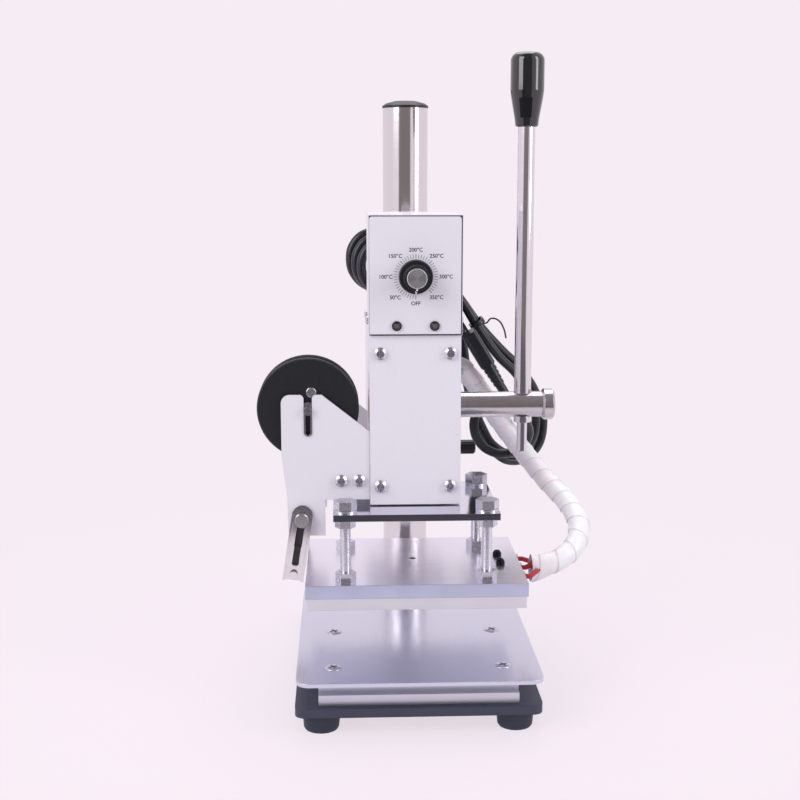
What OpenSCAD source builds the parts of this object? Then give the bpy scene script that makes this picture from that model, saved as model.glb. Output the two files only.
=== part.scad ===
// Bench hot foil stamping machine, millimetres.
// The heated plate hangs from a rack driven ram, and a side lever presses it onto a flat table.
// Drawn about the ram axis, then moved so that the origin is the middle of the footprint.

/* [Base] */
// Width of the base plate
base_w = 142; // [136:1:170]
// Depth of the base plate
base_d = 214.5; // [205:0.5:250]
// Thickness of the base plate
base_t = 5.5; // [5:0.5:12]
// Corner radius of the base plate
base_r = 6; // [2:0.5:12]
// Distance from the ram axis forward to the base's front edge
base_front = 76.5; // [74:0.5:86]
// Diameter of a rubber foot at its top
foot_d = 22; // [16:0.5:26]
// Height of a rubber foot
foot_h = 10.5; // [8:0.5:16]
// Inset of the feet's centres from the base's sides
foot_inset_x = 15; // [13:0.5:22]
// Inset of the feet's centres from the base's front and back edges
foot_inset_y = 12.5; // [11:0.5:20]

/* [Table] */
// Width of the riser under the table
riser_w = 115; // [110:1:135]
// Depth of the riser
riser_d = 80; // [76:1:100]
// Height of the riser
riser_h = 16.75; // [12:0.25:24]
// Distance from the ram axis forward to the riser's front face
riser_front = 72; // [68:0.5:74]
// Height of the riser's lip above its groove
riser_lip = 3; // [2:0.25:4]
// Height of the grooves along the riser's front and back
groove_h = 7.5; // [4:0.25:8]
// Depth of the grooves
groove_depth = 5; // [2:0.5:6]
// Width of the table
table_w = 140; // [132:1:170]
// Depth of the table
table_d = 174; // [150:1:178]
// Thickness of the table
table_t = 2.25; // [2.25:0.25:6]
// Corner radius of the table
table_r = 8; // [2:0.5:14]
// Distance from the ram axis forward to the table's front edge
table_front = 86.6; // [84:0.1:92]
// Spacing of the table screws across the table
table_screw_dx = 98; // [80:1:100]
// Spacing of the table screws along the table
table_screw_dy = 60; // [40:1:62]
// Distance from the riser's front face to the first row of screws
table_screw_inset = 10; // [9:0.5:12]
// Head diameter of a table screw
table_screw_d = 10; // [8:0.5:11]

/* [Column] */
// Diameter of the column
column_d = 30; // [26:0.5:34]
// Height of the column above the base
column_h = 342; // [320:1:420]
// Distance from the ram axis back to the column axis
column_y = 108; // [106:0.5:112]
// Diameter of the bolt that holds the column
column_bolt_d = 10; // [8:1:12]
// Height of the cap on the column
cap_h = 4.5; // [3:0.5:8]

/* [Press] */
// Gap between the table and the die plate at rest
work_gap = 30; // [27:0.5:50]
// Width of the heater block
heater_w = 130; // [124:1:132]
// Depth of the heater block
heater_d = 100; // [98:1:120]
// Thickness of the heater block
heater_t = 8; // [8:0.5:14]
// Thickness of the die plate under the heater block
die_t = 7; // [4:0.5:12]
// Amount that each side of the die plate stays inside the heater block
die_inset = 1; // [1:0.25:4]
// Spacing of the levelling bolts across the machine
bolt_dx = 83; // [78:0.5:86]
// Spacing of the levelling bolts along the machine
bolt_dy = 66; // [60:0.5:70]
// Distance from the ram axis forward to the middle of the bolts
bolt_shift = 5; // [0:0.5:7]
// Thread diameter of the levelling bolts
bolt_d = 6; // [6:1:8]
// Distance across the flats of the bolts' heads
bolt_af = 12; // [11:0.5:14]
// Distance across the flats of the nuts on the levelling bolts
nut_af = 10.5; // [10.5:0.5:14]
// Height of a nut on the levelling bolts
nut_h = 5; // [4:0.5:8]
// Clear height between the heater block and the press plate
standoff = 37; // [28:0.5:50]
// Width of the press plate
plate_w = 97; // [94:1:104]
// Depth of the press plate
plate_d = 82; // [80:1:90]
// Thickness of the press plate
plate_t = 4; // [4:0.5:8]
// Stroke of the ram
stroke = 25; // [15:1:26]
// Diameter of the ram
ram_d = 30; // [29:0.5:31]
// Gap between the press plate and the head at rest
ram_gap = 1.5; // [1:0.25:4]
// Diameter of a heater cartridge
cartridge_d = 6; // [4:0.5:6]
// Spacing of the heater cartridges
cartridge_pitch = 18; // [18:0.5:23]

/* [Head] */
// Width of the head
head_w = 53.4; // [52.4:0.2:54.2]
// Height of the head
head_h = 100; // [97:0.5:108]
// Distance from the ram axis forward to the head's front face
head_front = 25; // [24.5:0.25:30]
// Wall of the head behind the column
head_wall_back = 9; // [6:0.5:14]
// Side walls of the head's inner space
head_wall = 10.2; // [9.5:0.1:10.4]
// Thickness of the head's roof
roof_t = 4; // [3:0.5:6]
// Length of the ram's guide bush
bush_h = 30; // [24:0.5:31]
// Wall of the ram's guide bush
bush_wall = 4; // [3:0.25:4]
// Thickness of the front cover
cover_t = 2; // [1:0.25:3]
// Inset of the cover screws from the head's sides
cover_screw_inset = 6.2; // [5.5:0.1:6.6]
// Inset of the cover screws from the head's top and bottom
cover_screw_inset_z = 10.5; // [9:0.5:13]
// Height of the clamp screw above the head's underside
clamp_rise = 6; // [5.5:0.5:20]

/* [Lever] */
// Height of the lever shaft above the head's underside
shaft_rise = 50.1; // [49:0.1:52]
// Diameter of the lever shaft
shaft_d = 16; // [14:0.5:17]
// Distance from the ram axis to the shaft's outer end
shaft_reach = 82; // [80:0.5:90]
// Diameter of the cap on the shaft's end
shaft_cap_d = 19.5; // [18:0.5:24]
// Thickness of that cap
shaft_cap_t = 7.5; // [5:0.5:10]
// Distance from the ram axis to the lever rod
lever_x = 70; // [64:0.5:72]
// Diameter of the lever rod
lever_d = 10.6; // [9:0.2:12]
// Length of the lever above the shaft axis, grip included
lever_h = 214.4; // [180:0.2:240]
// Diameter of the rod's tail below the shaft
tail_d = 6.3; // [5:0.1:6.5]
// Length of the tail below the shaft axis
tail_h = 30.6; // [26:0.2:31]
// Length of the grip
grip_h = 44; // [36:0.5:70]
// Largest diameter of the grip
grip_d = 20.5; // [18:0.5:26]
// Diameter of the grip at its lower end
grip_neck_d = 14; // [13:0.25:16]
// Size of a pinion tooth, pitch diameter over tooth count
gear_module = 1.5; // [1.4:0.05:1.55]
// Number of pinion teeth
gear_teeth = 20; // [20:1:21]
// Width of the pinion
gear_w = 12; // [8:0.5:12]

/* [Control box] */
// Width of the control box
box_w = 54.4; // [54.4:0.2:60]
// Height of the control box
box_h = 69.5; // [66:0.5:80]
// Distance from the ram axis forward to the panel's face
box_front = 27; // [26.5:0.25:29]
// Distance from the ram axis back to the box's back face
box_back = 38; // [36:0.5:40]
// Sheet thickness of the box
box_t = 1.5; // [1:0.1:2]
// Height of the dial's centre above the box's lower edge
dial_rise = 34.1; // [32:0.1:38]
// Diameter of the knob's skirt
knob_d = 20; // [17:0.5:24]
// Diameter of the knob's metal cap
knob_cap_d = 11.6; // [10:0.2:13]
// Depth of the knob
knob_h = 14; // [11:0.5:18]
// Diameter of an indicator's bezel
lamp_d = 5.7; // [5.2:0.1:7]
// Distance between the indicators
lamp_dx = 22; // [18:0.5:28]
// Height of the indicators above the box's lower edge
lamp_rise = 5.8; // [5:0.1:8]

/* [Foil holder] */
// Sheet thickness of the foil brackets
bracket_t = 1.5; // [1:0.1:2]
// Distance between the two brackets
bracket_span = 67.5; // [60:0.5:69]
// Height of the reel axle above the head's underside
reel_rise = 56.5; // [55:0.5:60]
// Distance from the ram axis left to the reel axle
reel_x = 63; // [62:0.5:64]
// Diameter of the reel flanges
flange_d = 60; // [40:1:60]
// Thickness of the reel flanges
flange_t = 3; // [2:0.25:4]
// Distance between the faces of the two flanges
flange_gap = 10; // [9:0.5:14]
// Diameter of the axle in the bracket slots
axle_d = 4.4; // [4:0.1:4.8]
// Diameter of the axle between the brackets
axle_body_d = 8; // [6:0.5:9]
// Distance from the heater block's left side out to the guide screws
guide_x = 2.3; // [1.8:0.1:4]
// Height of the guide screws below the head's underside
guide_drop = 9.5; // [8:0.5:11]
// Length of a guide arm
arm_l = 46; // [44:0.5:48]
// Width of a guide arm
arm_w = 12.5; // [11:0.25:12.5]
// Lean of the guide arms from upright
arm_lean = 8.9; // [4:0.1:14]
// Distance from the guide screw to the guide rod
rod_drop = 33.4; // [31:0.2:34]
// Diameter of the guide rod
rod_d = 4.5; // [3:0.25:5]

/* [Cords] */
// Diameter of the mains cord
cord_d = 6.2; // [5:0.1:6.4]
// Full turns in the bundle of mains cord
hank_turns = 2; // [1:1:2]
// Distance between neighbouring turns of the bundle
hank_pitch = 7.4; // [7:0.1:7.5]
// Diameter of the wrapped heater cable
wrap_d = 14; // [10:0.5:14]
// Depth of the grooves between the wrap's turns
wrap_groove = 0.7; // [0.3:0.1:1]

/* [Fits] */
// Radial clearance of the column in the head and of shafts in their bushes
run_gap = 0.05; // [0.02:0.01:0.1]
// Clearance of fixed pieces in their seats
seat_gap = 0.05; // [0.02:0.01:0.1]
// Backlash between the rack and the pinion
backlash = 0.25; // [0.15:0.05:0.4]
// Clearance between sheet pieces that slide or swing past each other
slide_gap = 0.3; // [0.2:0.05:0.5]
// Radial clearance of the levelling bolts in the press plate
bolt_room = 0.2; // [0.1:0.05:0.4]

/* [Hidden] */
$fn = 64;

// Heights, from the floor up
base_z = foot_h;
riser_z = base_z + base_t;
table_z = riser_z + riser_h;
work_z = table_z + table_t;
die_z = work_z + work_gap;
heater_z = die_z + die_t;
heater_top = heater_z + heater_t;
plate_z = heater_top + standoff;
plate_top = plate_z + plate_t;
head_z = plate_top + ram_gap;
head_top = head_z + head_h;
shaft_z = head_z + shaft_rise;
column_top = riser_z + column_h;

// Places along the machine
base_back = base_d - base_front;
head_back = column_y + column_d / 2 + head_wall_back;
head_half = head_w / 2;
cavity_half = head_half - head_wall;
cavity_back = column_y - column_d / 2 - head_wall;
cover_back = -head_front + cover_t;
pitch_r = gear_module * gear_teeth / 2;
rack_y = ram_d / 2 - 2 * gear_module;
shaft_y = rack_y + pitch_r;
tooth_pitch = PI * gear_module;
rack_below = 13;
ram_roof_gap = 7.5;
rack_low = shaft_z - rack_below;
ram_top = head_top - roof_t - ram_roof_gap;
guide_at = -heater_w / 2 - guide_x;
reel_z = head_z + reel_rise;
guide_z = head_z - guide_drop;
bracket_front = cover_back + 0.5;
bracket_rear = bracket_front + bracket_span;

// Footprint's middle, which is the origin of the finished part
middle_x = (shaft_reach + shaft_cap_t - reel_x - flange_d / 2) / 2;
middle_y = (base_back - table_front) / 2;

// Small fasteners
m4_d = 4;
m4_head_d = 7.4;
m4_head_h = 2.6;
m3_d = 3;
m3_head_d = 5.4;
m3_head_h = 1.8;
m5_d = 5;
csk_flat = 0.4;
recess_w = 1;

// Free depth under the end of a screw in a blind hole
screw_room = 1;
cover_screw_l = 12;

// Table screws, which end short of the riser's underside
screw_short = 3;
table_screw_l = table_t + riser_h - screw_short;

// Clamp screw
clamp_d = 6;
clamp_knob_d = 9.8;
clamp_knob_out = 12;
clamp_knob_x = head_half + clamp_knob_out;
clamp_knob_l = 10;
clamp_knob_edge = 1.2;
clamp_flute = 2;
clamp_z = head_z + clamp_rise;

// Control box fittings
spindle_d = 6;
thermostat_w = 34;
thermostat_h = 26;
thermostat_d = 30;
lamp_body_d = 4.8;
lamp_body_l = 10;
gland_x = 14;
gland_rise = 46;
gland_d = 10;
gland_end_d = 8.4;
gland_l = 22;
box_flange = 12;
box_screw_d = 3;
box_screw_l = 5;
box_screw_y = [-10, 22];
box_head_d = 5;
gland_neck_d = 8.6;
gland_inner_l = 3;
wire_hole_d = 12;
wire_hole_inset = 14;

// Die screws
die_head_d = 8;
die_bite = 4;
die_screw_inset = 7.5;

// Heater cable
cable_exit_y = 69.5;
cable_exit_rise = 67.5;
cable_socket_d = 12;
cable_collar_t = 2;
cable_collar_rim = 1.5;
lead_d = 3;

// Foil bracket outline, left of the head
bracket_gap = 0.2;
bracket_right = -head_half - bracket_gap;
bracket_out = 15.7;
bracket_rise = 8.7;
bracket_drop = 52.5;
bracket_straight = 36.2;
bracket_foot = 10;
bracket_lift = 2.3;
bracket_shoulder = 8.1;
bracket_slope = 13.4;
bracket_tab_left = 7.8;
bracket_tab_right = 14;
bracket_flare = 0.7;
bracket_left = -reel_x - bracket_out;
bracket_top = reel_z + bracket_rise;
bracket_knee = reel_z - bracket_drop;
bracket_low = guide_z - bracket_foot;
bracket_edge = head_z + bracket_lift;
bracket_slope_x = bracket_shoulder - reel_x;
bracket_slope_z = reel_z - bracket_slope;
bracket_tab_x = guide_at + bracket_tab_right;
bracket_foot_x = guide_at - bracket_tab_left;
bracket_corner = 5;
slot_w = 4.9;
slot_mouth = 2.5;
slot_drop = 16;
slot_floor = reel_z - slot_drop;
foil_screw_out = [17, 6.4];
foil_screw_rise = 13.9;
foil_screw_x = [for (out = foil_screw_out) -head_half - out];
foil_screw_z = head_z + foil_screw_rise;
foil_block_w = 23;
foil_block_h = 15;
foil_screw_l = 11;
cross_y = [1, 13];
cross_sink = 8;
cross_bite = 7;
guide_screw_d = 4;
guide_screw_l = 7;
guide_nut_af = 7;
guide_head_d = 9;
guide_head_h = 2.4;
guide_head_edge = 0.6;
arm_t = 1.5;
arm_lip = 4;
arm_over = 9;
arm_slide = 14;
arm_slot_over = 12;
arm_slot_w = 4.5;
flange_hub_d = 16;
flange_hub_l = 4;
axle_end = 3;

function unit(v) = v / norm(v);
function along(points, i) = unit(points[min(i + 1, len(points) - 1)] - points[max(i - 1, 0)]);
function curve4(a, b, c, d, t) =
    0.5 * (2 * b + (c - a) * t + (2 * a - 5 * b + 4 * c - d) * t * t + (3 * b - 3 * c + d - a) * t * t * t);

// A smooth open line through chosen points, with a number of steps in each stretch
function smooth(points, steps) = [
    for (i = [0 : len(points) - 2], s = [0 : steps - 1])
        curve4(
            points[max(i - 1, 0)],
            points[i],
            points[i + 1],
            points[min(i + 2, len(points) - 1)],
            s / steps
        ),
    points[len(points) - 1]
];

// A tube through points, with a radius at each point and rings that keep clear of the side direction
module tube(points, radii, sides, side_way) {
    count = len(points);
    rings = [
        for (i = [0 : count - 1])
            let (
                t = along(points, i),
                n = unit(cross(side_way, t)),
                b = cross(t, n)
            )
            for (k = [0 : sides - 1])
                points[i] + radii[i] * (cos(360 * k / sides) * n + sin(360 * k / sides) * b)
    ];
    walls = [
        for (i = [0 : count - 2], k = [0 : sides - 1])
            let (
                a = i * sides + k,
                b = i * sides + (k + 1) % sides
            )
            each [[a, a + sides, b + sides], [a, b + sides, b]]
    ];
    last = (count - 1) * sides;
    ends = [
        for (k = [1 : sides - 2])
            each [[0, k, k + 1], [last, last + k + 1, last + k]]
    ];
    polyhedron(rings, concat(walls, ends));
}

module rounded_rect(w, d, r) {
    square([w, d - 2 * r], center = true);
    square([w - 2 * r, d], center = true);
    for (x = [-1, 1], y = [-1, 1])
        translate([x * (w / 2 - r), y * (d / 2 - r)]) circle(r);
}

module plate(w, d, t, r) {
    linear_extrude(t) rounded_rect(w, d, r);
}

// A flat outline in X and Z, thickened along Y from y_from to y_from + t
module upright(y_from, t) {
    translate([0, y_from + t, 0]) rotate([90, 0, 0]) linear_extrude(t) children();
}

// An outline in Y and Z, thickened along X from x_from to x_from + t
module sideways(x_from, t) {
    translate([x_from, 0, 0]) rotate([90, 0, 90]) linear_extrude(t) children();
}

module hex(af, h) {
    cylinder(h = h, d = af / cos(30), $fn = 6);
}

module cross_recess(size, depth) {
    for (a = [0, 90])
        rotate([0, 0, a]) translate([-size / 2, -recess_w / 2, -depth]) cube([size, recess_w, 2 * depth]);
}

// A pan head screw along -Z, with its head standing on z = 0
module pan_screw(d, head_d, head_h, length) {
    difference() {
        union() {
            translate([0, 0, -length]) cylinder(h = length, d = d);
            cylinder(h = head_h * 0.55, d = head_d);
            translate([0, 0, head_h * 0.55]) cylinder(h = head_h * 0.45, d1 = head_d, d2 = head_d * 0.62);
        }
        translate([0, 0, head_h]) cross_recess(head_d * 0.55, head_h * 0.5);
    }
}

// A countersunk screw along -Z, with its head flush with z = 0
module flush_screw(d, head_d, length) {
    taper = (head_d - d) / 2;
    difference() {
        union() {
            translate([0, 0, -length]) cylinder(h = length, d = d);
            translate([0, 0, -csk_flat - taper]) cylinder(h = taper, d1 = d, d2 = head_d);
            translate([0, 0, -csk_flat]) cylinder(h = csk_flat, d = head_d);
        }
        cross_recess(head_d * 0.6, taper * 0.6);
    }
}

// The hole that a countersunk screw sits in
module flush_hole(d, head_d, length) {
    taper = (head_d - d) / 2;
    g = 2 * seat_gap;
    translate([0, 0, -length]) cylinder(h = length, d = d + g);
    translate([0, 0, -csk_flat - taper]) cylinder(h = taper, d1 = d + g, d2 = head_d + g);
    translate([0, 0, -csk_flat]) cylinder(h = csk_flat + 1, d = head_d + g);
}

// Places of repeated pieces
module at_feet() {
    for (x = [-1, 1], y = [-base_front + foot_inset_y, base_back - foot_inset_y])
        translate([x * (base_w / 2 - foot_inset_x), y, 0]) children();
}

module at_table_screws() {
    for (x = [-1, 1], row = [0, 1])
        translate([x * table_screw_dx / 2, table_screw_inset - riser_front + row * table_screw_dy, 0])
            children();
}

module at_riser_screws() {
    for (x = [-1, 1], y = [-1, 1])
        translate([x * riser_w / 4, riser_d / 2 - riser_front + y * riser_d / 4, 0]) children();
}

module at_bolts() {
    for (x = [-1, 1], y = [-1, 1])
        translate([x * bolt_dx / 2, -bolt_shift + y * bolt_dy / 2, 0]) children();
}

function cartridge_y(i) = -bolt_shift + i * cartridge_pitch;

module at_cartridges() {
    for (i = [-1 : 1])
        translate([0, cartridge_y(i), heater_z + heater_t / 2]) children();
}

module at_cover_screws() {
    for (x = [-1, 1], z = [head_z + cover_screw_inset_z, head_top - cover_screw_inset_z])
        translate([x * (head_half - cover_screw_inset), -head_front, z]) rotate([90, 0, 0]) children();
}

module at_die_screws() {
    for (x = [-1, 1], y = [-1, 1])
        translate([x * (heater_w / 2 - die_screw_inset), y * (heater_d / 2 - die_screw_inset), die_z])
            rotate([180, 0, 0]) children();
}

module at_box_screws() {
    for (side = [-1, 1], y = box_screw_y)
        translate([side * box_w / 2, y, head_top + box_flange / 2 + box_t]) rotate([0, side * 90, 0])
            children();
}

module at_foil_screws(face_y, turn) {
    for (x = foil_screw_x)
        translate([x, face_y, foil_screw_z]) rotate([turn, 0, 0]) children();
}

// The screws that hold the foil mount on the head's side, pointing out from the head
module at_cross_screws() {
    for (y = cross_y)
        translate([-head_half, (bracket_front + bracket_rear) / 2 + y, foil_screw_z]) rotate([0, -90, 0])
            children();
}

// The hole for the wires between the head and the control box
module at_wire_hole() {
    translate([0, box_back - wire_hole_inset, head_top]) children();
}

module shift_to_middle() {
    translate([-middle_x, -middle_y, 0]) children();
}

// Base
module base_plate() {
    color("#3f4049") difference() {
        translate([0, base_back / 2 - base_front / 2, base_z]) plate(base_w, base_d, base_t, base_r);
        translate([0, column_y, base_z - 1]) cylinder(h = base_t + 2, d = column_bolt_d + 2 * run_gap);
        at_riser_screws() translate([0, 0, base_z]) rotate([180, 0, 0])
            flush_hole(m5_d, table_screw_d, base_t + 1);
        at_feet() translate([0, 0, base_z - 1]) cylinder(h = base_t + 2, d = m4_d + 2 * seat_gap);
    }
}

foot_recess_h = 5;
module rubber_feet() {
    color("#26262b") at_feet() difference() {
        union() {
            cylinder(h = 1.2, d1 = foot_d - 3, d2 = foot_d - 1.6);
            translate([0, 0, 1.2]) cylinder(h = foot_h - 1.2, d1 = foot_d - 1.6, d2 = foot_d);
        }
        translate([0, 0, -1]) cylinder(h = foot_recess_h + 1, d = m4_head_d + 1);
        cylinder(h = foot_h + 1, d = m4_d + 2 * seat_gap);
    }
}

module foot_screws() {
    color("silver") at_feet() translate([0, 0, foot_recess_h]) rotate([180, 0, 0])
        pan_screw(m4_d, m4_head_d, m4_head_h, foot_h - foot_recess_h + base_t - 1);
}

module table_riser() {
    groove_z = riser_h - riser_lip - groove_h;
    color("#c9cbd3") difference() {
        sideways(-riser_w / 2, riser_w)
            translate([-riser_front, riser_z]) difference() {
                square([riser_d, riser_h]);
                for (y = [-1, riser_d - groove_depth])
                    translate([y, groove_z]) square([groove_depth + 1, groove_h]);
            }
        at_table_screws() translate([0, 0, work_z]) flush_hole(m5_d, table_screw_d, table_screw_l + 1);
        at_riser_screws() translate([0, 0, riser_z - 1]) cylinder(h = riser_h - 2, d = m5_d + 2 * seat_gap);
    }
}

module work_table() {
    color("#c4c6d2") difference() {
        translate([0, table_d / 2 - table_front, table_z]) plate(table_w, table_d, table_t, table_r);
        at_table_screws() translate([0, 0, work_z]) flush_hole(m5_d, table_screw_d, table_t + 1);
    }
}

module table_screws() {
    color("silver") {
        at_table_screws() translate([0, 0, work_z]) flush_screw(m5_d, table_screw_d, table_screw_l);
        at_riser_screws() translate([0, 0, base_z]) rotate([180, 0, 0])
            flush_screw(m5_d, table_screw_d, base_t + riser_h / 2);
    }
}

// Column
column_thread = 30;
cap_stem_d = 12;
cap_stem_h = 12;
cap_rim = 1.5;
module column() {
    color("#d9d9dc") translate([0, column_y, 0]) difference() {
        translate([0, 0, riser_z]) cylinder(h = column_h, d = column_d);
        translate([0, 0, riser_z - 1]) cylinder(h = column_thread + 1, d = column_bolt_d + 2 * seat_gap);
        translate([0, 0, column_top - cap_stem_h - screw_room])
            cylinder(h = cap_stem_h + screw_room + 1, d = cap_stem_d + 2 * seat_gap);
    }
}

module column_cap() {
    color("#202024") translate([0, column_y, column_top]) {
        cylinder(h = cap_rim, d = column_d + 0.6);
        translate([0, 0, cap_rim]) cylinder(h = (cap_h - cap_rim) / 2, d1 = column_d, d2 = column_d * 0.86);
        translate([0, 0, (cap_h + cap_rim) / 2])
            cylinder(h = (cap_h - cap_rim) / 2, d1 = column_d * 0.86, d2 = column_d * 0.5);
        translate([0, 0, -cap_stem_h]) cylinder(h = cap_stem_h, d = cap_stem_d);
    }
}

column_bolt_head = 6;
module column_bolt() {
    color("silver") translate([0, column_y, base_z - column_bolt_head]) {
        hex(column_bolt_d * 1.6, column_bolt_head);
        cylinder(h = column_bolt_head + base_t + column_thread - 2, d = column_bolt_d);
    }
}

// Head
module head_body() {
    length = head_back - cover_back;
    bush_d = ram_d + 2 * run_gap + 2 * bush_wall;
    color("#e6e2ea") difference() {
        translate([-head_half, cover_back, head_z]) cube([head_w, length, head_h]);
        translate([0, column_y, head_z - 1]) cylinder(h = head_h + 2, d = column_d + 2 * run_gap);
        translate([0, 0, head_z - 1]) cylinder(h = bush_h + 2, d = bush_d + 2 * seat_gap);
        translate([-cavity_half, cover_back - 1, head_z + bush_h])
            cube([2 * cavity_half, cavity_back - cover_back + 1, head_h - bush_h - roof_t]);
        translate([-head_half - 1, shaft_y, shaft_z]) rotate([0, 90, 0])
            cylinder(h = head_w + 2, d = shaft_bush_d + 2 * seat_gap);
        translate([0, column_y, clamp_z]) rotate([0, 90, 0])
            cylinder(h = head_w, d = clamp_d + 2 * run_gap);
        translate([cavity_half - 1, cable_exit_y, cable_z]) rotate([0, 90, 0])
            cylinder(h = head_wall + 2, d = cable_socket_d + 2 * seat_gap);
        at_wire_hole() translate([0, 0, -roof_t - 1]) cylinder(h = roof_t + 2, d = wire_hole_d);
        at_cover_screws() translate([0, 0, -cover_screw_l - screw_room])
            cylinder(h = cover_screw_l + screw_room, d = m4_d + 2 * seat_gap);
        at_cross_screws() translate([0, 0, -cross_bite - screw_room])
            cylinder(h = cross_bite + screw_room + 1, d = m4_d + 2 * seat_gap);
    }
}

cover_drop = 0.8;
module front_cover() {
    color("#e8e4ec") difference() {
        translate([-head_half, -head_front, head_z - cover_drop])
            cube([head_w, cover_t, head_h + cover_drop]);
        at_cover_screws() translate([0, 0, -cover_t - 1]) cylinder(h = cover_t + 2, d = m4_d + 2 * seat_gap);
    }
}

module ram_bush() {
    bore_d = ram_d + 2 * run_gap;
    color("#b98d4f") translate([0, 0, head_z]) difference() {
        cylinder(h = bush_h, d = bore_d + 2 * bush_wall);
        translate([0, 0, -1]) cylinder(h = bush_h + 2, d = bore_d);
    }
}

shaft_bush_d = shaft_d + 6;
module shaft_bushes() {
    color("#b98d4f") for (x = [-head_half, cavity_half])
        translate([x, shaft_y, shaft_z]) rotate([0, 90, 0]) difference() {
            cylinder(h = head_wall, d = shaft_bush_d);
            translate([0, 0, -1]) cylinder(h = head_wall + 2, d = shaft_d + 2 * run_gap);
        }
}

module clamp_screw() {
    tip = column_d / 2 + run_gap;
    edge = clamp_knob_edge;
    color("#1e1f24") translate([0, column_y, clamp_z]) rotate([0, 90, 0]) {
        translate([0, 0, tip]) cylinder(h = clamp_knob_x - tip, d = clamp_d);
        difference() {
            union() {
                translate([0, 0, clamp_knob_x]) cylinder(h = clamp_knob_l - edge, d = clamp_knob_d);
                translate([0, 0, clamp_knob_x + clamp_knob_l - edge])
                    cylinder(h = edge, d1 = clamp_knob_d, d2 = clamp_knob_d - 2 * edge);
            }
            for (a = [0 : 45 : 315])
                rotate([0, 0, a]) translate([clamp_knob_d / 2 + clamp_flute / 4, 0, clamp_knob_x - 1])
                    cylinder(h = clamp_knob_l + 2, d = clamp_flute);
        }
    }
}

// Control box
module box_floor() {
    width = box_w - 2 * box_t - 2 * seat_gap;
    y_from = -box_front + 4;
    depth = box_back - box_t - 1 - y_from;
    color("#d5d2da") difference() {
        translate([-width / 2, y_from, head_top]) union() {
            cube([width, depth, box_t]);
            cube([box_t, depth, box_flange]);
            translate([width - box_t, 0, 0]) cube([box_t, depth, box_flange]);
        }
        at_wire_hole() translate([0, 0, -1]) cylinder(h = box_t + 2, d = wire_hole_d);
        at_box_screws() translate([0, 0, -box_screw_l - 1])
            cylinder(h = box_screw_l, d = box_screw_d + 2 * seat_gap);
    }
}

module box_shell() {
    y_from = -box_front + box_t;
    color("#e6e2ea") difference() {
        translate([-box_w / 2, y_from, head_top]) cube([box_w, box_back - y_from, box_h]);
        translate([-box_w / 2 + box_t, y_from - 1, head_top - 1])
            cube([box_w - 2 * box_t, box_back - y_from + 1 - box_t, box_h + 1 - box_t]);
        at_box_screws() translate([0, 0, -box_t - 1])
            cylinder(h = box_t + 2, d = box_screw_d + 2 * seat_gap);
        translate([gland_x, box_back - box_t - 1, head_top + gland_rise]) rotate([-90, 0, 0])
            cylinder(h = box_t + 2, d = gland_neck_d + 2 * seat_gap);
    }
}

module box_screws() {
    color("silver") at_box_screws() pan_screw(box_screw_d, box_head_d, m3_head_h, box_screw_l);
}

panel_edge = 0.4;
panel_lip = 8;
panel_lip_short = 4;
module control_panel() {
    width = box_w - 2 * panel_edge;
    height = box_h - 2 * panel_edge;
    lip_x = box_w / 2 - box_t - seat_gap;
    lip_h = box_h - box_flange - 2 * panel_lip_short;
    color("#e8e4ec") difference() {
        union() {
            translate([-width / 2, -box_front, head_top + panel_edge]) cube([width, box_t, height]);
            for (x = [-lip_x, lip_x - box_t])
                translate([x, -box_front, head_top + box_flange + panel_lip_short])
                    cube([box_t, panel_lip, lip_h]);
        }
        translate([0, -box_front - 1, head_top + dial_rise]) rotate([-90, 0, 0])
            cylinder(h = box_t + 2, d = spindle_d + 1);
        for (x = [-1, 1])
            translate([x * lamp_dx / 2, -box_front - 1, head_top + lamp_rise]) rotate([-90, 0, 0])
                cylinder(h = box_t + 2, d = lamp_body_d + 2 * seat_gap);
    }
}

spindle_l = 12;
knob_roof = 4;
knob_skirt_t = 3;
knob_cap_t = 1.5;
knob_cap_edge = 0.4;
module thermostat() {
    color("#bfb59a") translate([0, -box_front + box_t, head_top + dial_rise]) difference() {
        translate([-thermostat_w / 2, 0, -thermostat_h / 2]) cube([thermostat_w, thermostat_d, thermostat_h]);
        translate([0, -1, 0]) rotate([-90, 0, 0]) cylinder(h = spindle_l + 1, d = spindle_d + 2 * run_gap);
    }
}

module thermostat_spindle() {
    tip = -box_front - slide_gap - knob_h + knob_roof;
    color("silver") translate([0, tip, head_top + dial_rise]) rotate([-90, 0, 0])
        cylinder(h = -box_front + box_t + spindle_l - screw_room - tip, d = spindle_d);
}

module indicator(x) {
    translate([x, -box_front, head_top + lamp_rise]) rotate([90, 0, 0]) {
        translate([0, 0, -lamp_body_l]) cylinder(h = lamp_body_l, d = lamp_body_d);
        cylinder(h = 1, d = lamp_d);
        translate([0, 0, 1]) cylinder(h = 0.8, d1 = lamp_d * 0.8, d2 = lamp_d * 0.5);
    }
}

module indicator_lamps() {
    color("#3a2f35") for (x = [-1, 1])
        indicator(x * lamp_dx / 2);
}

module knob_skirt() {
    front = -box_front - slide_gap;
    color("#1d1e22") translate([0, front, head_top + dial_rise]) rotate([90, 0, 0]) difference() {
        union() {
            cylinder(h = knob_skirt_t, d1 = knob_d, d2 = knob_d - 1);
            cylinder(h = knob_h - knob_cap_t / 2, d1 = knob_cap_d + 3.4, d2 = knob_cap_d + 2.4);
        }
        translate([0, 0, -1]) cylinder(h = knob_h - knob_roof + 1 + seat_gap, d = spindle_d + 2 * seat_gap);
        translate([0, 0, knob_h - knob_cap_t]) cylinder(h = knob_cap_t + 1, d = knob_cap_d + 2 * seat_gap);
    }
}

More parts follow.
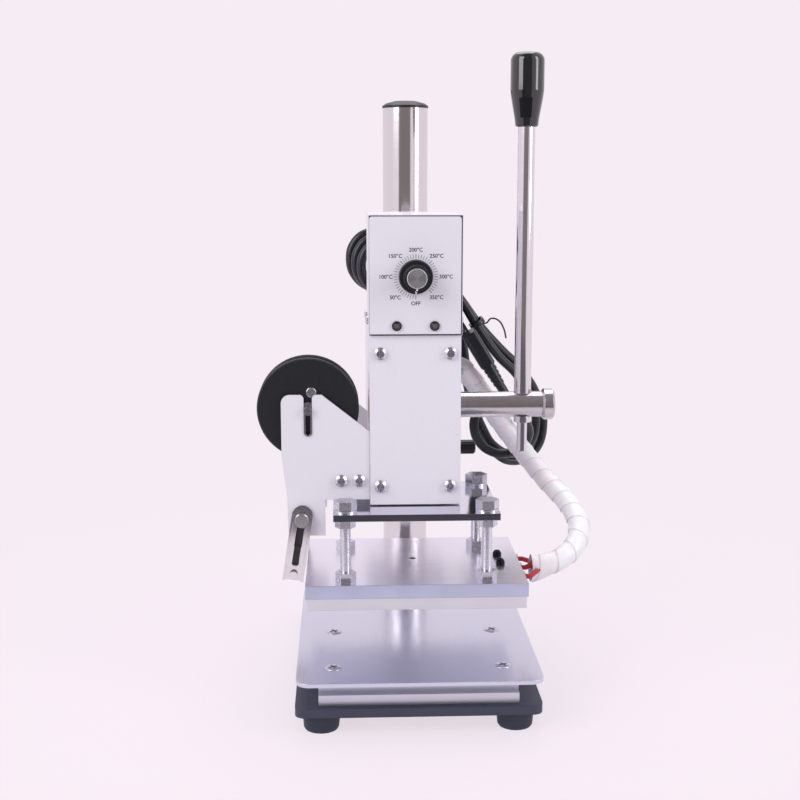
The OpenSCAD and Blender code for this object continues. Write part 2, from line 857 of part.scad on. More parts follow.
module knob_cap() {
    back = -box_front - slide_gap - knob_h + knob_cap_t;
    flat = knob_cap_t - knob_cap_edge;
    color("#c9c9cf") translate([0, back, head_top + dial_rise]) rotate([90, 0, 0]) {
        cylinder(h = flat, d = knob_cap_d);
        translate([0, 0, flat])
            cylinder(h = knob_cap_edge, d1 = knob_cap_d, d2 = knob_cap_d - 2 * knob_cap_edge);
    }
}

// Lever and pinion
flat_r = shaft_d / 2 - 0.8;
shaft_short = 2;
// The stem of the shaft's end cap stops short of the lever rod
end_stem_d = 6;
end_stem_wall = 2;
end_stem_l = shaft_reach - lever_x - tail_d / 2 - end_stem_wall;
end_cap_edge = 1.2;
module pinion_shaft() {
    left = -head_half + shaft_short;
    color("#d7d7da") difference() {
        translate([left, shaft_y, shaft_z]) rotate([0, 90, 0]) cylinder(h = shaft_reach - left, d = shaft_d);
        translate([lever_x, shaft_y, shaft_z - shaft_d]) cylinder(h = 2 * shaft_d, d = tail_d + 2 * seat_gap);
        for (up = [0, 180])
            translate([lever_x, shaft_y, shaft_z]) rotate([up, 0, 0])
                translate([0, 0, flat_r]) cylinder(h = shaft_d, d = lever_d + 0.4);
        translate([shaft_reach - end_stem_l - seat_gap, shaft_y, shaft_z]) rotate([0, 90, 0])
            cylinder(h = end_stem_l + 1, d = end_stem_d + 2 * seat_gap);
    }
}

pressure = 20;
base_r_gear = pitch_r * cos(pressure);
tip_r = pitch_r + gear_module;
root_r = pitch_r - 1.25 * gear_module;
function involute(a) = tan(a) * 180 / PI - a;
function tooth_half(r) =
    (PI * gear_module / 2 - backlash / 2) / 2 / pitch_r * 180 / PI
    + involute(pressure) - involute(acos(min(1, base_r_gear / r)));
function polar(r, a) = r * [cos(a), sin(a)];
flank = [base_r_gear, (base_r_gear + pitch_r) / 2, pitch_r, (pitch_r + tip_r) / 2, tip_r];

module pinion_gear() {
    step = 360 / gear_teeth;
    color("#8d8f96") translate([0, shaft_y, shaft_z]) sideways(-gear_w / 2, gear_w) difference() {
        polygon([
            for (i = [0 : gear_teeth - 1])
                let (a = 180 + i * step)
                each [
                    polar(root_r, a - tooth_half(base_r_gear)),
                    for (r = flank) polar(r, a - tooth_half(r)),
                    for (j = [len(flank) - 1 : -1 : 0]) polar(flank[j], a + tooth_half(flank[j])),
                    polar(root_r, a + tooth_half(base_r_gear))
                ]
        ]);
        circle(d = shaft_d + 2 * seat_gap);
    }
}

collar_w = 7;
collar_wall = 4;
collar_d = shaft_d + 2 * collar_wall;
module shaft_collar() {
    color("#8d8f96") translate([-cavity_half + 0.3, shaft_y, shaft_z]) rotate([0, 90, 0]) difference() {
        cylinder(h = collar_w, d = collar_d);
        translate([0, 0, -1]) cylinder(h = collar_w + 2, d = shaft_d + 2 * seat_gap);
    }
}

spring_wire = 1.6;
spring_turns = 3;
spring_r = shaft_d / 2 + 2;
module return_spring() {
    rings = 10 * spring_turns;
    pitch = 2.4;
    start = cavity_half - 0.3 - spring_wire / 2 - spring_turns * pitch;
    points = [
        for (i = [0 : rings])
            let (a = i * 36)
            [start + pitch * i / 10, shaft_y + spring_r * cos(a), shaft_z + spring_r * sin(a)]
    ];
    color("#9a9ca3") tube(points, [for (p = points) spring_wire / 2], 6, [1, 0, 0]);
}

grip_bore = 26;
module lever_rod() {
    shoulder = shaft_z + flat_r;
    top = shaft_z + lever_h - grip_h + grip_bore;
    color("#dcdce0") translate([lever_x, shaft_y, 0]) {
        translate([0, 0, shoulder]) cylinder(h = top - shoulder, d = lever_d);
        translate([0, 0, shaft_z - tail_h + 0.8]) cylinder(h = shoulder - shaft_z + tail_h - 0.8, d = tail_d);
        translate([0, 0, shaft_z - tail_h]) cylinder(h = 0.8, d1 = tail_d - 1.6, d2 = tail_d);
    }
}

lever_nut_h = 4;
module lever_nut() {
    color("#d0d0d4") translate([lever_x, shaft_y, shaft_z - flat_r - lever_nut_h]) difference() {
        cylinder(h = lever_nut_h, d = lever_d);
        translate([0, 0, -1]) cylinder(h = lever_nut_h + 2, d = tail_d + 2 * seat_gap);
    }
}

module lever_grip() {
    r = grip_d / 2;
    neck = grip_neck_d / 2;
    round_r = 5;
    waist = grip_h * 0.42;
    color("#141518") translate([lever_x, shaft_y, shaft_z + lever_h - grip_h]) difference() {
        rotate_extrude() union() {
            polygon([
                [0, 0], [neck - 0.8, 0], [neck, 0.8], [neck + 0.5, grip_h * 0.12],
                [r - 0.6, waist * 0.92], [r, waist + 3], [r, grip_h - round_r],
                [r - round_r, grip_h], [0, grip_h]
            ]);
            intersection() {
                translate([r - round_r, grip_h - round_r]) circle(round_r);
                square([r, grip_h]);
            }
        }
        translate([0, 0, -1]) cylinder(h = grip_bore + 1 + seat_gap, d = lever_d + 2 * seat_gap);
    }
}

module shaft_end_cap() {
    edge = end_cap_edge;
    color("#c3c1c6") translate([shaft_reach, shaft_y, shaft_z]) rotate([0, 90, 0]) {
        translate([0, 0, -end_stem_l]) cylinder(h = end_stem_l, d = end_stem_d);
        cylinder(h = edge, d1 = shaft_cap_d - 2 * edge, d2 = shaft_cap_d);
        translate([0, 0, edge]) cylinder(h = shaft_cap_t - 2 * edge, d = shaft_cap_d);
        translate([0, 0, shaft_cap_t - edge])
            cylinder(h = edge, d1 = shaft_cap_d, d2 = shaft_cap_d - 2 * edge);
    }
}

// Ram and heated plate
module rack_gaps() {
    half = tooth_pitch / 4 + backlash / 4;
    top = rack_y + gear_module + 1;
    bottom = rack_y - 1.25 * gear_module;
    gaps_up = floor((ram_top - shaft_z) / tooth_pitch);
    for (i = [-2 : gaps_up])
        let (
            z = shaft_z + i * tooth_pitch,
            wide = half + (top - rack_y) * tan(pressure),
            slim = half - (rack_y - bottom) * tan(pressure)
        )
        polygon([[bottom, z - slim], [top, z - wide], [top, z + wide], [bottom, z + slim]]);
}

ram_screw_d = 8;
ram_screw_head = 15;
ram_screw_bite = 18;
module ram_rack() {
    color("#c9c9ce") difference() {
        translate([0, 0, plate_top]) cylinder(h = ram_top - plate_top, d = ram_d);
        translate([-ram_d, rack_y + gear_module, rack_low]) cube([2 * ram_d, ram_d, ram_top - rack_low + 1]);
        sideways(-ram_d, 2 * ram_d) rack_gaps();
        translate([0, 0, plate_top - 1])
            cylinder(h = ram_screw_bite + screw_room + 1, d = ram_screw_d + 2 * seat_gap);
    }
}

module ram_screw() {
    color("silver") translate([0, 0, plate_z]) rotate([180, 0, 0])
        flush_screw(ram_screw_d, ram_screw_head, plate_t + ram_screw_bite);
}

module press_plate() {
    color("#cfd0d8") difference() {
        translate([-plate_w / 2, -bolt_shift - plate_d / 2, plate_z]) cube([plate_w, plate_d, plate_t]);
        at_bolts() translate([0, 0, plate_z - 1]) cylinder(h = plate_t + 2, d = bolt_d + 2 * bolt_room);
        translate([0, 0, plate_z]) rotate([180, 0, 0]) flush_hole(ram_screw_d, ram_screw_head, plate_t + 1);
    }
}

washer_t = 1.5;
washer_rim = 0.8;
washer_d = bolt_af + 2 * washer_rim;
bolt_head_h = 5.3;
bolt_floor = 0.8;
bolt_bite = heater_t - bolt_floor;
module levelling_bolts() {
    low = heater_top - bolt_bite;
    color("#c7c8cf") at_bolts() {
        translate([0, 0, plate_top + washer_t]) hex(bolt_af, bolt_head_h);
        translate([0, 0, low]) cylinder(h = plate_top + washer_t - low, d = bolt_d);
    }
}

module nut_ring(h, d) {
    difference() {
        hex(d, h);
        translate([0, 0, -1]) cylinder(h = h + 2, d = bolt_d + 2 * seat_gap);
    }
}

module plate_washers() {
    color("#c7c8cf") at_bolts() translate([0, 0, plate_top]) difference() {
        cylinder(h = washer_t, d = washer_d);
        translate([0, 0, -1]) cylinder(h = washer_t + 2, d = bolt_d + 2 * bolt_room);
    }
}

module levelling_nuts() {
    color("#c7c8cf") at_bolts() {
        translate([0, 0, plate_z - nut_h]) nut_ring(nut_h, nut_af);
        translate([0, 0, heater_top]) nut_ring(nut_h, nut_af);
    }
}

// Cartridges lie in blind bores from the right side, with earth screws and a pilot hole between them
cartridge_blind = 10;
cartridge_end_gap = 0.5;
cartridge_out = 1.5;
terminal_inset = 12;
terminal_shift = 4;
terminal_l = 2.6;
terminal_head_h = 3.2;
terminal_room = 0.4;
pilot_depth = 4;
module at_terminals() {
    for (i = [-1, 0])
        translate([heater_w / 2 - terminal_inset, cartridge_y(i + 0.5) + terminal_shift, heater_top])
            children();
}

module heater_block() {
    color("#c8cad4") difference() {
        translate([-heater_w / 2, -heater_d / 2, heater_z]) cube([heater_w, heater_d, heater_t]);
        at_bolts() translate([0, 0, heater_top - bolt_bite - seat_gap])
            cylinder(h = bolt_bite + 1, d = bolt_d + 2 * seat_gap);
        at_cartridges() translate([-heater_w / 2 + cartridge_blind, 0, 0]) rotate([0, 90, 0])
            cylinder(h = heater_w, d = cartridge_d + 2 * seat_gap);
        at_terminals() translate([0, 0, -terminal_l - terminal_room])
            cylinder(h = terminal_l + terminal_room + 1, d = m3_d + 2 * seat_gap);
        at_die_screws() translate([0, 0, -die_t - die_bite - screw_room])
            cylinder(h = die_bite + screw_room + 1, d = m4_d + 2 * seat_gap);
        translate([0, cartridge_y(0.5), heater_top - pilot_depth]) cylinder(h = pilot_depth + 1, d = m4_d);
    }
}

module heater_cartridges() {
    inset = cartridge_blind + cartridge_end_gap;
    color("#b9b4a8") at_cartridges() translate([-heater_w / 2 + inset, 0, 0]) rotate([0, 90, 0])
        cylinder(h = heater_w - inset + cartridge_out, d = cartridge_d);
}

module terminal_screws() {
    color("#25252a") at_terminals() pan_screw(m3_d, m3_head_d, terminal_head_h, terminal_l);
}

module die_plate() {
    color("#d0d1da") difference() {
        translate([-heater_w / 2 + die_inset, -heater_d / 2 + die_inset / 2, die_z])
            cube([heater_w - 2 * die_inset, heater_d - die_inset, die_t]);
        at_die_screws() flush_hole(m4_d, die_head_d, die_t + 1);
    }
}

module die_screws() {
    color("silver") at_die_screws() flush_screw(m4_d, die_head_d, die_t + die_bite);
}

// Foil holder
cross_head_room = 0.3;
module foil_mount() {
    x_from = -head_half - foil_block_w;
    z_from = foil_screw_z - foil_block_h / 2;
    color("#dcd8e0") difference() {
        translate([x_from, bracket_front, z_from]) cube([foil_block_w, bracket_span, foil_block_h]);
        at_foil_screws(bracket_front, 90) foil_screw_hole();
        at_foil_screws(bracket_rear, -90) foil_screw_hole();
        at_cross_screws() {
            translate([0, 0, -1]) cylinder(h = foil_block_w + 2, d = m4_d + 2 * seat_gap);
            translate([0, 0, foil_block_w - cross_sink])
                cylinder(h = cross_sink + 1, d = m4_head_d + 2 * cross_head_room);
        }
    }
}

module foil_screw_hole() {
    translate([0, 0, -foil_screw_l]) cylinder(h = foil_screw_l + 1, d = m4_d + 2 * seat_gap);
}

// Sheet with an open slot for the axle, a sloped shoulder and a tab for the guide screw
module bracket_outline() {
    c = bracket_corner;
    difference() {
        union() {
            polygon([
                [bracket_left, bracket_top - c], [bracket_left, bracket_top - bracket_straight],
                [bracket_foot_x - bracket_flare, bracket_knee], [bracket_foot_x, bracket_low],
                [bracket_tab_x, bracket_low], [bracket_tab_x, bracket_edge],
                [bracket_right, bracket_edge], [bracket_right, bracket_slope_z],
                [bracket_slope_x, bracket_top], [bracket_left + c, bracket_top]
            ]);
            translate([bracket_left + c, bracket_top - c]) circle(c);
        }
        translate([-reel_x - slot_w / 2, slot_floor + slot_w / 2]) square([slot_w, bracket_top - slot_floor]);
        translate([-reel_x, slot_floor + slot_w / 2]) circle(d = slot_w);
        for (side = [0, 1])
            translate([-reel_x, bracket_top]) mirror([side, 0]) translate([slot_w / 2, -slot_mouth])
                difference() {
                    square([slot_mouth, slot_mouth + 1]);
                    translate([slot_mouth, 0]) circle(slot_mouth);
                }
        for (x = foil_screw_x)
            translate([x, foil_screw_z]) circle(d = m4_d + 2 * seat_gap);
        translate([guide_at, guide_z]) circle(d = guide_screw_d + 2 * run_gap);
    }
}

module foil_brackets() {
    color("#e6e2ea") {
        upright(bracket_front - bracket_t, bracket_t) bracket_outline();
        upright(bracket_rear, bracket_t) bracket_outline();
    }
}

module head_screws() {
    color("silver") {
        at_cover_screws() pan_screw(m4_d, m4_head_d, m4_head_h, cover_screw_l);
        at_foil_screws(bracket_front - bracket_t, 90) pan_screw(m4_d, m4_head_d, m4_head_h, foil_screw_l);
        at_foil_screws(bracket_rear + bracket_t, -90) pan_screw(m4_d, m4_head_d, m4_head_h, foil_screw_l);
        at_cross_screws() translate([0, 0, foil_block_w - cross_sink])
            pan_screw(m4_d, m4_head_d, m4_head_h, foil_block_w - cross_sink + cross_bite);
    }
}

saddle_wire = 0.8;
saddle_gap = 0.15;
saddle_d = slot_w - 2 * saddle_gap;
saddle_y = 3;
module saddle_outline() {
    inner = saddle_d / 2 - saddle_wire;
    reach = axle_d / 2 + seat_gap;
    top = reel_z - sqrt(reach * reach - inner * inner);
    bend = slot_floor + slot_w / 2;
    difference() {
        union() {
            translate([-reel_x, bend]) circle(d = saddle_d);
            translate([-reel_x - saddle_d / 2, bend]) square([saddle_d, top - bend]);
        }
        translate([-reel_x, bend]) circle(inner);
        translate([-reel_x - inner, bend]) square([2 * inner, reel_z - bend]);
    }
}

module axle_saddles() {
    color("#cfcfd4") {
        upright(bracket_front - bracket_t / 2 - saddle_y / 2, saddle_y) saddle_outline();
        upright(bracket_rear + bracket_t / 2 - saddle_y / 2, saddle_y) saddle_outline();
    }
}

// The shoulders of the axle run just inside the brackets and clear the saddles
axle_from = bracket_front - bracket_t / 2 + saddle_y / 2 + slide_gap;
axle_to = bracket_rear + bracket_t / 2 - saddle_y / 2 - slide_gap;
module reel_axle() {
    tip = bracket_front - bracket_t - axle_end;
    tail = bracket_rear + bracket_t + axle_end;
    color("#cfcfd4") translate([-reel_x, 0, reel_z]) rotate([-90, 0, 0]) {
        translate([0, 0, tip]) cylinder(h = tail - tip, d = axle_d);
        translate([0, 0, axle_from]) cylinder(h = axle_to - axle_from, d = axle_body_d);
    }
}

// A flange with its flat side at z = 0 and its hub behind it
module flange() {
    bevel = 0.8;
    difference() {
        union() {
            cylinder(h = bevel, d1 = flange_d - 2 * bevel, d2 = flange_d);
            translate([0, 0, bevel]) cylinder(h = flange_t - bevel, d = flange_d);
            translate([0, 0, flange_t]) cylinder(h = flange_hub_l, d = flange_hub_d);
        }
        translate([0, 0, -1]) cylinder(h = flange_t + flange_hub_l + 2, d = axle_body_d + 2 * run_gap);
    }
}

flange_front_y = axle_from + 0.5;
flange_rear_y = flange_front_y + flange_t + flange_gap;
module reel_flange_front() {
    color("#26262b") translate([-reel_x, flange_front_y, reel_z]) rotate([-90, 0, 0]) flange();
}

module reel_flange_rear() {
    color("#26262b") translate([-reel_x, flange_rear_y, reel_z]) rotate([-90, 0, 0]) flange();
}

// Guides, drawn hanging from the guide screws and then leaned
module on_guide() {
    translate([guide_at, 0, guide_z]) rotate([0, arm_lean, 0]) children();
}

arm_front = bracket_front - bracket_t - slide_gap;
arm_rear = bracket_rear + bracket_t + slide_gap;
module guide_screws() {
    grip = arm_t + slide_gap;
    nut_h = guide_screw_l - grip - bracket_t - 2 * slide_gap;
    edge = guide_head_edge;
    color("#a7a6ac") for (side = [0, 1])
        translate([guide_at, side ? arm_rear + grip : arm_front - grip, guide_z])
            rotate([side ? -90 : 90, 0, 0]) {
                cylinder(h = guide_head_h - edge, d = guide_head_d);
                translate([0, 0, guide_head_h - edge])
                    cylinder(h = edge, d1 = guide_head_d, d2 = guide_head_d - 2 * edge);
                translate([0, 0, -guide_screw_l]) cylinder(h = guide_screw_l, d = guide_screw_d);
                translate([0, 0, -guide_screw_l]) hex(guide_nut_af, nut_h);
            }
}

// The arm's slot hangs on the guide screw at its upper end and lets the arm slide up
module arm_web() {
    slot_top = (guide_screw_d - arm_slot_w) / 2 + seat_gap;
    slot_low = slot_top - arm_slide - arm_slot_over;
    difference() {
        union() {
            translate([-arm_w / 2, arm_over - arm_l]) square([arm_w, arm_l - arm_w / 2]);
            translate([0, arm_over - arm_w / 2]) circle(d = arm_w);
        }
        translate([-arm_slot_w / 2, slot_low]) square([arm_slot_w, slot_top - slot_low]);
        for (z = [slot_low, slot_top])
            translate([0, z]) circle(d = arm_slot_w);
        translate([0, -rod_drop]) circle(d = rod_d + 2 * seat_gap);
    }
}

module guide_arm() {
    upright(-arm_t, arm_t) arm_web();
    for (x = [-arm_w / 2, arm_w / 2 - arm_t])
        translate([x, -arm_lip, arm_over - arm_l]) cube([arm_t, arm_lip - arm_t, arm_l - arm_w / 2]);
}

module guide_arms() {
    color("#d3d3d8") {
        translate([0, arm_front, 0]) on_guide() guide_arm();
        translate([0, arm_rear, 0]) on_guide() mirror([0, 1, 0]) guide_arm();
    }
}

module guide_rod() {
    color("#d3d3d8") on_guide() translate([0, arm_front - arm_lip, -rod_drop]) rotate([-90, 0, 0])
        cylinder(h = arm_rear - arm_front + 2 * arm_lip, d = rod_d);
}

// Cords
// The bundle of mains cord: its outline in X and Z, drawn in where it folds over the head's edge
hank_outline = [
    [-13, 277.5], [-25.5, 277], [-34.3, 270.8], [-37.5, 260], [-34, 248.6], [-24.5, 241.6], [-10, 239.2],
    [7, 237.6], [23.4, 231.8], [33, 221.2], [37, 204], [40.5, 181], [46, 158.5], [53, 139],
    [62.5, 122.5], [78, 114], [94, 119.5], [101.5, 137.5], [96.5, 162], [83, 184], [66.5, 201], [50, 217],
    [34, 235.5], [15.5, 255.5], [-1, 271]
];
// Each turn is drawn in towards the waist on the left and towards the lower loop's middle on the right
hank_waist = [33, 221];
hank_shrink = 0.05;
fold_from = 30;
fold_over = 30;
loop_middle = [50, 170];
loop_shrink = 0.13;
loop_from = 37;
loop_over = 24;
hank_from_y = 74;
hank_bow = 0.0017;
hank_left = -40;
// The share of the last, open turn before the cord leaves for its plug
hank_last = 0.48;
// The run from the bundle's last turn up to the plug
plug_run = [
    [45.2, 82.2, 147], [49, 82.7, 137], [56.6, 83, 130.6], [66.6, 83.2, 128.8], [76, 82.2, 132.6],
    [81.7, 78.2, 142], [79.2, 72, 151.8], [73.5, 66.6, 160.6], [66.8, 62.4, 168.6]
];
plug_base = [60, 60, 179];
plug_lean = 31.4;
plug_way = [-sin(plug_lean), 0, cos(plug_lean)];
// The run from the gland to the bundle
lead_run = [[13, 73.5, 269.5], [9, 80, 272.5], [2, 85.5, 276], [-5, 88.3, 277.7]];
// The heater cable's run from the head to the heater's side
cable_run = [
    [46, 70.5, 177], [57, 73, 160], [67, 73.5, 146], [77, 68, 133], [90, 50, 118], [101, 32, 107],
    [105.5, 16, 97], [101.5, 4, 88], [91.5, -3, 81], [78, -6, 76.5]
];

function outline_at(u) =
    let (
        n = len(hank_outline),
        f = u * n,
        i = floor(f)
    )
    curve4(
        hank_outline[(i + n - 1) % n],
        hank_outline[i % n],
        hank_outline[(i + 1) % n],
        hank_outline[(i + 2) % n],
        f - i
    );
function ease(x) = let (t = max(0, min(1, x))) t * t * (3 - 2 * t);
function hank_at(u) =
    let (
        q = outline_at(u),
        to_loop = ease((q[0] - loop_from) / loop_over) * loop_shrink * u,
        to_waist = ease((fold_from - q[0]) / fold_over) * hank_shrink * u,
        p = q + to_loop * (loop_middle - q) + to_waist * (hank_waist - q),
        bow = hank_bow * (p[0] - hank_left) * (p[0] - hank_left)
    )
    [p[0], hank_from_y + bow + (2 - u) * hank_pitch, p[1]];
function hank_line(steps) = concat(
    [for (k = [0 : floor((hank_turns + hank_last) * steps)]) hank_at(k / steps)],
    plug_run,
    [plug_base - plug_way * cord_d, plug_base]
);
hank_points = hank_line(len(hank_outline));
hank_fine = hank_line(5 * len(hank_outline));
hank_gap = min([
    for (i = [0 : len(hank_fine) - 26], j = [i + 25 : len(hank_fine) - 1])
        norm(hank_fine[i] - hank_fine[j]) - cord_d
]);
function run_length(points) = [for (i = [0 : len(points) - 2]) norm(points[i + 1] - points[i])] * [
    for (i = [0 : len(points) - 2]) 1
];

gland_y = box_back;
gland_z = head_top + gland_rise;
lead_start = [gland_x, gland_y + gland_l, gland_z];
lead_points = concat(
    [lead_start],
    smooth(concat([lead_start + [0, cord_d, 0]], lead_run, [hank_at(0)]), 2)
);

cable_z = head_z + cable_exit_rise;
cable_start = [head_half + cable_collar_t, cable_exit_y, cable_z];
cable_points = concat(
    [cable_start],
    smooth(concat([cable_start + [wrap_d / 2, 0, 0]], cable_run), 4)
);
cable_end = cable_points[len(cable_points) - 1];
cable_way = along(cable_points, len(cable_points) - 1);

// A strain relief along +Z, from its wide end at z = 0 to its narrow end at z = length
module relief(wide, slim, length) {
    ribs = 5;
    step = length / ribs;
    for (i = [0 : ribs - 1])
        let (d = wide + (slim - wide) * i / (ribs - 1))
        translate([0, 0, i * step]) {
            cylinder(h = step * 0.6, d = d);
            translate([0, 0, step * 0.6]) cylinder(h = step * 0.4, d = d - 1.2);
        }
}

module cord_gland() {
    color("#1b1c21") translate([gland_x, gland_y, gland_z]) rotate([-90, 0, 0]) {
        relief(gland_d, gland_end_d, gland_l);
        translate([0, 0, -box_t - gland_inner_l]) cylinder(h = box_t + gland_inner_l, d = gland_neck_d);
    }
}

module mains_cord() {
    color("#1b1c21") tube(lead_points, [for (p = lead_points) cord_d / 2], 8, [0, 0, 1]);
}

module cord_hank() {
    echo(hank_least_gap = hank_gap, cord_length = run_length(hank_fine) + run_length(lead_points));
    color("#1b1c21") tube(hank_points, [for (p = hank_points) cord_d / 2], 6, [0, 1, 0]);
}

tie_u = 0.847;
tie_t = 1.2;
tie_w = 3;
tie_room = 1;
module cord_tie() {
    a = hank_at(tie_u);
    b = hank_at(tie_u + 1);
    way = unit(hank_at(tie_u + 0.01) - hank_at(tie_u - 0.01));
    inner = cord_d + 2 * tie_room;
    wide = inner + norm(a - b);
    color("#2a2a30") translate((a + b) / 2) rotate([0, atan2(way[0], way[2]), 0])
        translate([0, 0, -tie_w / 2]) linear_extrude(tie_w) difference() {
            rounded_rect(inner + 2 * tie_t, wide + 2 * tie_t, inner / 2 + tie_t - 0.1);
            rounded_rect(inner, wide, inner / 2 - 0.1);
        }
}

plug_relief_l = 17;
plug_l = 24;
plug_w = 18;
plug_thick = 10;
blade_l = 17;
blade_gap = 12.7;
module mains_plug() {
    color("#1b1c21") translate(plug_base) rotate([0, -plug_lean, 0]) {
        translate([0, 0, plug_relief_l]) mirror([0, 0, 1]) relief(plug_thick - 1, cord_d + 1, plug_relief_l);
        translate([0, 0, plug_relief_l]) plate(plug_thick, plug_w, plug_l, 3);
        for (y = [-1, 1])
            translate([-0.75, y * blade_gap / 2 - 1.6, plug_relief_l + plug_l]) cube([1.5, 3.2, blade_l]);
    }
}

module heater_cable() {
    last = len(cable_points) - 1;
    color("#efe9ee") tube(
        cable_points,
        [for (i = [0 : last]) wrap_d / 2 - (i > 1 && i < last - 1 && i % 2 == 1 ? wrap_groove : 0)],
        8,
        [0, 0, 1]
    );
}

module cable_socket() {
    color("#d8d4dc") translate([cavity_half, cable_exit_y, cable_z]) rotate([0, 90, 0]) {
        cylinder(h = head_wall, d = cable_socket_d);
        translate([0, 0, head_wall]) cylinder(h = cable_collar_t, d = wrap_d + 2 * cable_collar_rim);
    }
}

// Three leads fan out of the cable's end, each square to the cable and to its cartridge
lead_fan = 3.6;
lead_gap = 0.3;
lead_stub = 3;
lead_bow = [1.5, 0, 0.3];
module heater_leads() {
    side = unit(cross(cable_way, [0, 0, 1]));
    up = cross(side, cable_way);
    color("#b3262e") for (i = [0 : 2])
        let (
            turn = 180 - 90 * i,
            from = cable_end + lead_gap * cable_way + lead_fan * (cos(turn) * side + sin(turn) * up),
            to = [heater_w / 2 + cartridge_out, cartridge_y(i - 1), heater_z + heater_t / 2],
            bend = (from + to) / 2 + lead_bow,
            run = smooth([from + lead_stub * cable_way, bend, to + [lead_stub, 0, 0]], 3),
            points = concat([from], run, [to])
        )
        tube(points, [for (p = points) lead_d / 2], 8, [0, 0, 1]);
}

shift_to_middle() base_plate();
shift_to_middle() rubber_feet();
shift_to_middle() foot_screws();
shift_to_middle() table_riser();
shift_to_middle() work_table();
shift_to_middle() table_screws();
shift_to_middle() column();
shift_to_middle() column_cap();
shift_to_middle() column_bolt();
shift_to_middle() head_body();
shift_to_middle() front_cover();
shift_to_middle() head_screws();
shift_to_middle() ram_bush();
shift_to_middle() shaft_bushes();
shift_to_middle() clamp_screw();
shift_to_middle() box_floor();
shift_to_middle() box_shell();
shift_to_middle() box_screws();
shift_to_middle() control_panel();
shift_to_middle() thermostat();
shift_to_middle() indicator_lamps();
shift_to_middle() thermostat_spindle();
shift_to_middle() knob_skirt();
shift_to_middle() knob_cap();
shift_to_middle() pinion_shaft();
shift_to_middle() pinion_gear();
shift_to_middle() shaft_collar();
shift_to_middle() return_spring();
shift_to_middle() lever_rod();
shift_to_middle() lever_nut();
shift_to_middle() lever_grip();
shift_to_middle() shaft_end_cap();
shift_to_middle() ram_rack();
shift_to_middle() ram_screw();
shift_to_middle() press_plate();
shift_to_middle() levelling_bolts();
shift_to_middle() plate_washers();
shift_to_middle() levelling_nuts();
shift_to_middle() heater_block();
shift_to_middle() heater_cartridges();
shift_to_middle() heater_leads();
shift_to_middle() terminal_screws();
shift_to_middle() die_plate();
shift_to_middle() die_screws();
shift_to_middle() foil_mount();
shift_to_middle() foil_brackets();
shift_to_middle() axle_saddles();
shift_to_middle() reel_axle();
shift_to_middle() reel_flange_front();
shift_to_middle() reel_flange_rear();
shift_to_middle() guide_screws();
shift_to_middle() guide_arms();
shift_to_middle() guide_rod();
shift_to_middle() cord_gland();
shift_to_middle() mains_cord();
shift_to_middle() cord_hank();
shift_to_middle() cord_tie();
shift_to_middle() mains_plug();
shift_to_middle() heater_cable();
shift_to_middle() cable_socket();
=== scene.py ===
# %% [markdown]
# # A bench hot foil stamping machine
# The machine stands on a dark base plate. A chromed column carries a white head, and a side lever drives a
# heated plate down onto a polished table. The solids come from a fixed frame, so this lesson dresses them:
# it places the camera, lays the cords, adds the small printed and ribbed details and gives each surface a
# finish.

# %% Load the frame
import math

import bmesh
import bpy
from mathutils import Matrix, Vector


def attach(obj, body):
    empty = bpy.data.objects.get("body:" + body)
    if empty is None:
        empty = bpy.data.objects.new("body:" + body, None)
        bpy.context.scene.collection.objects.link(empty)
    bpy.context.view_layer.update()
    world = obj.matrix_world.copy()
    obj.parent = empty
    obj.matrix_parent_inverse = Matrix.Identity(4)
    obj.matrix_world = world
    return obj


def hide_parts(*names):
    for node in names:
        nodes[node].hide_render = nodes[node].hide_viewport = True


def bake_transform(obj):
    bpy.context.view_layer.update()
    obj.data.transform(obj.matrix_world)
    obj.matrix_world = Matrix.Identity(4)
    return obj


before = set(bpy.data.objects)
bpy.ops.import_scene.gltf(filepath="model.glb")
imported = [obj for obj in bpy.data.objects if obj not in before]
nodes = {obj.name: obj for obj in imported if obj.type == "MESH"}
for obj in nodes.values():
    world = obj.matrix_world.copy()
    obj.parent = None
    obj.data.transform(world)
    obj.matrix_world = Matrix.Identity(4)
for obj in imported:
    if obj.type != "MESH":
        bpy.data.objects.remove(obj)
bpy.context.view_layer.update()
MM = 0.001
# The drawing's own zero is the ram's axis; the frame's zero is the middle of the footprint.
RAM_AXIS = (1.75, -25.7, 0.0)
TO_FRAME = Matrix.Scale(MM, 4) @ Matrix.Translation(RAM_AXIS)


def at(x, y, z):
    """A point of the drawing, in millimetres from the ram's axis, as a point of the frame in metres."""
    return TO_FRAME @ Vector((x, y, z))


print("frame with", len(nodes), "nodes")

# %% [markdown]
# ## The camera
# A product photograph of a small machine is taken from a little above the table with a long lens. A camera
# could be placed by eye, but then the far edges drift, so the lens and the place below were fitted to
# straight edges of the base, the heated plate and the column.

# %% Camera
SENSOR_MM, LENS_MM = 36.0, 58.8
CAMERA_PLACE = (-0.03911, -0.80327, 0.31361)
CAMERA_TILT, CAMERA_PAN = math.radians(80.28), math.radians(-2.42)
camera_data = bpy.data.cameras.new("camera")
camera_data.sensor_width = SENSOR_MM
camera_data.lens = LENS_MM
camera = bpy.data.objects.new("camera", camera_data)
camera.location = CAMERA_PLACE
camera.rotation_euler = (CAMERA_TILT, 0.0, CAMERA_PAN)
bpy.context.collection.objects.link(camera)
bpy.context.scene.camera = camera
print("camera", round(camera_data.lens, 1), "mm")

# %% [markdown]
# ## The mains cord
# A round PVC cord leaves the box through a tapered strain relief, and the rest of it is folded into a
# bundle of two and a half turns with its plug tucked in. It could be swept as a mesh, but a curve with a
# round bevel keeps its thickness however it bends. The points repeat the route that the solid follows.

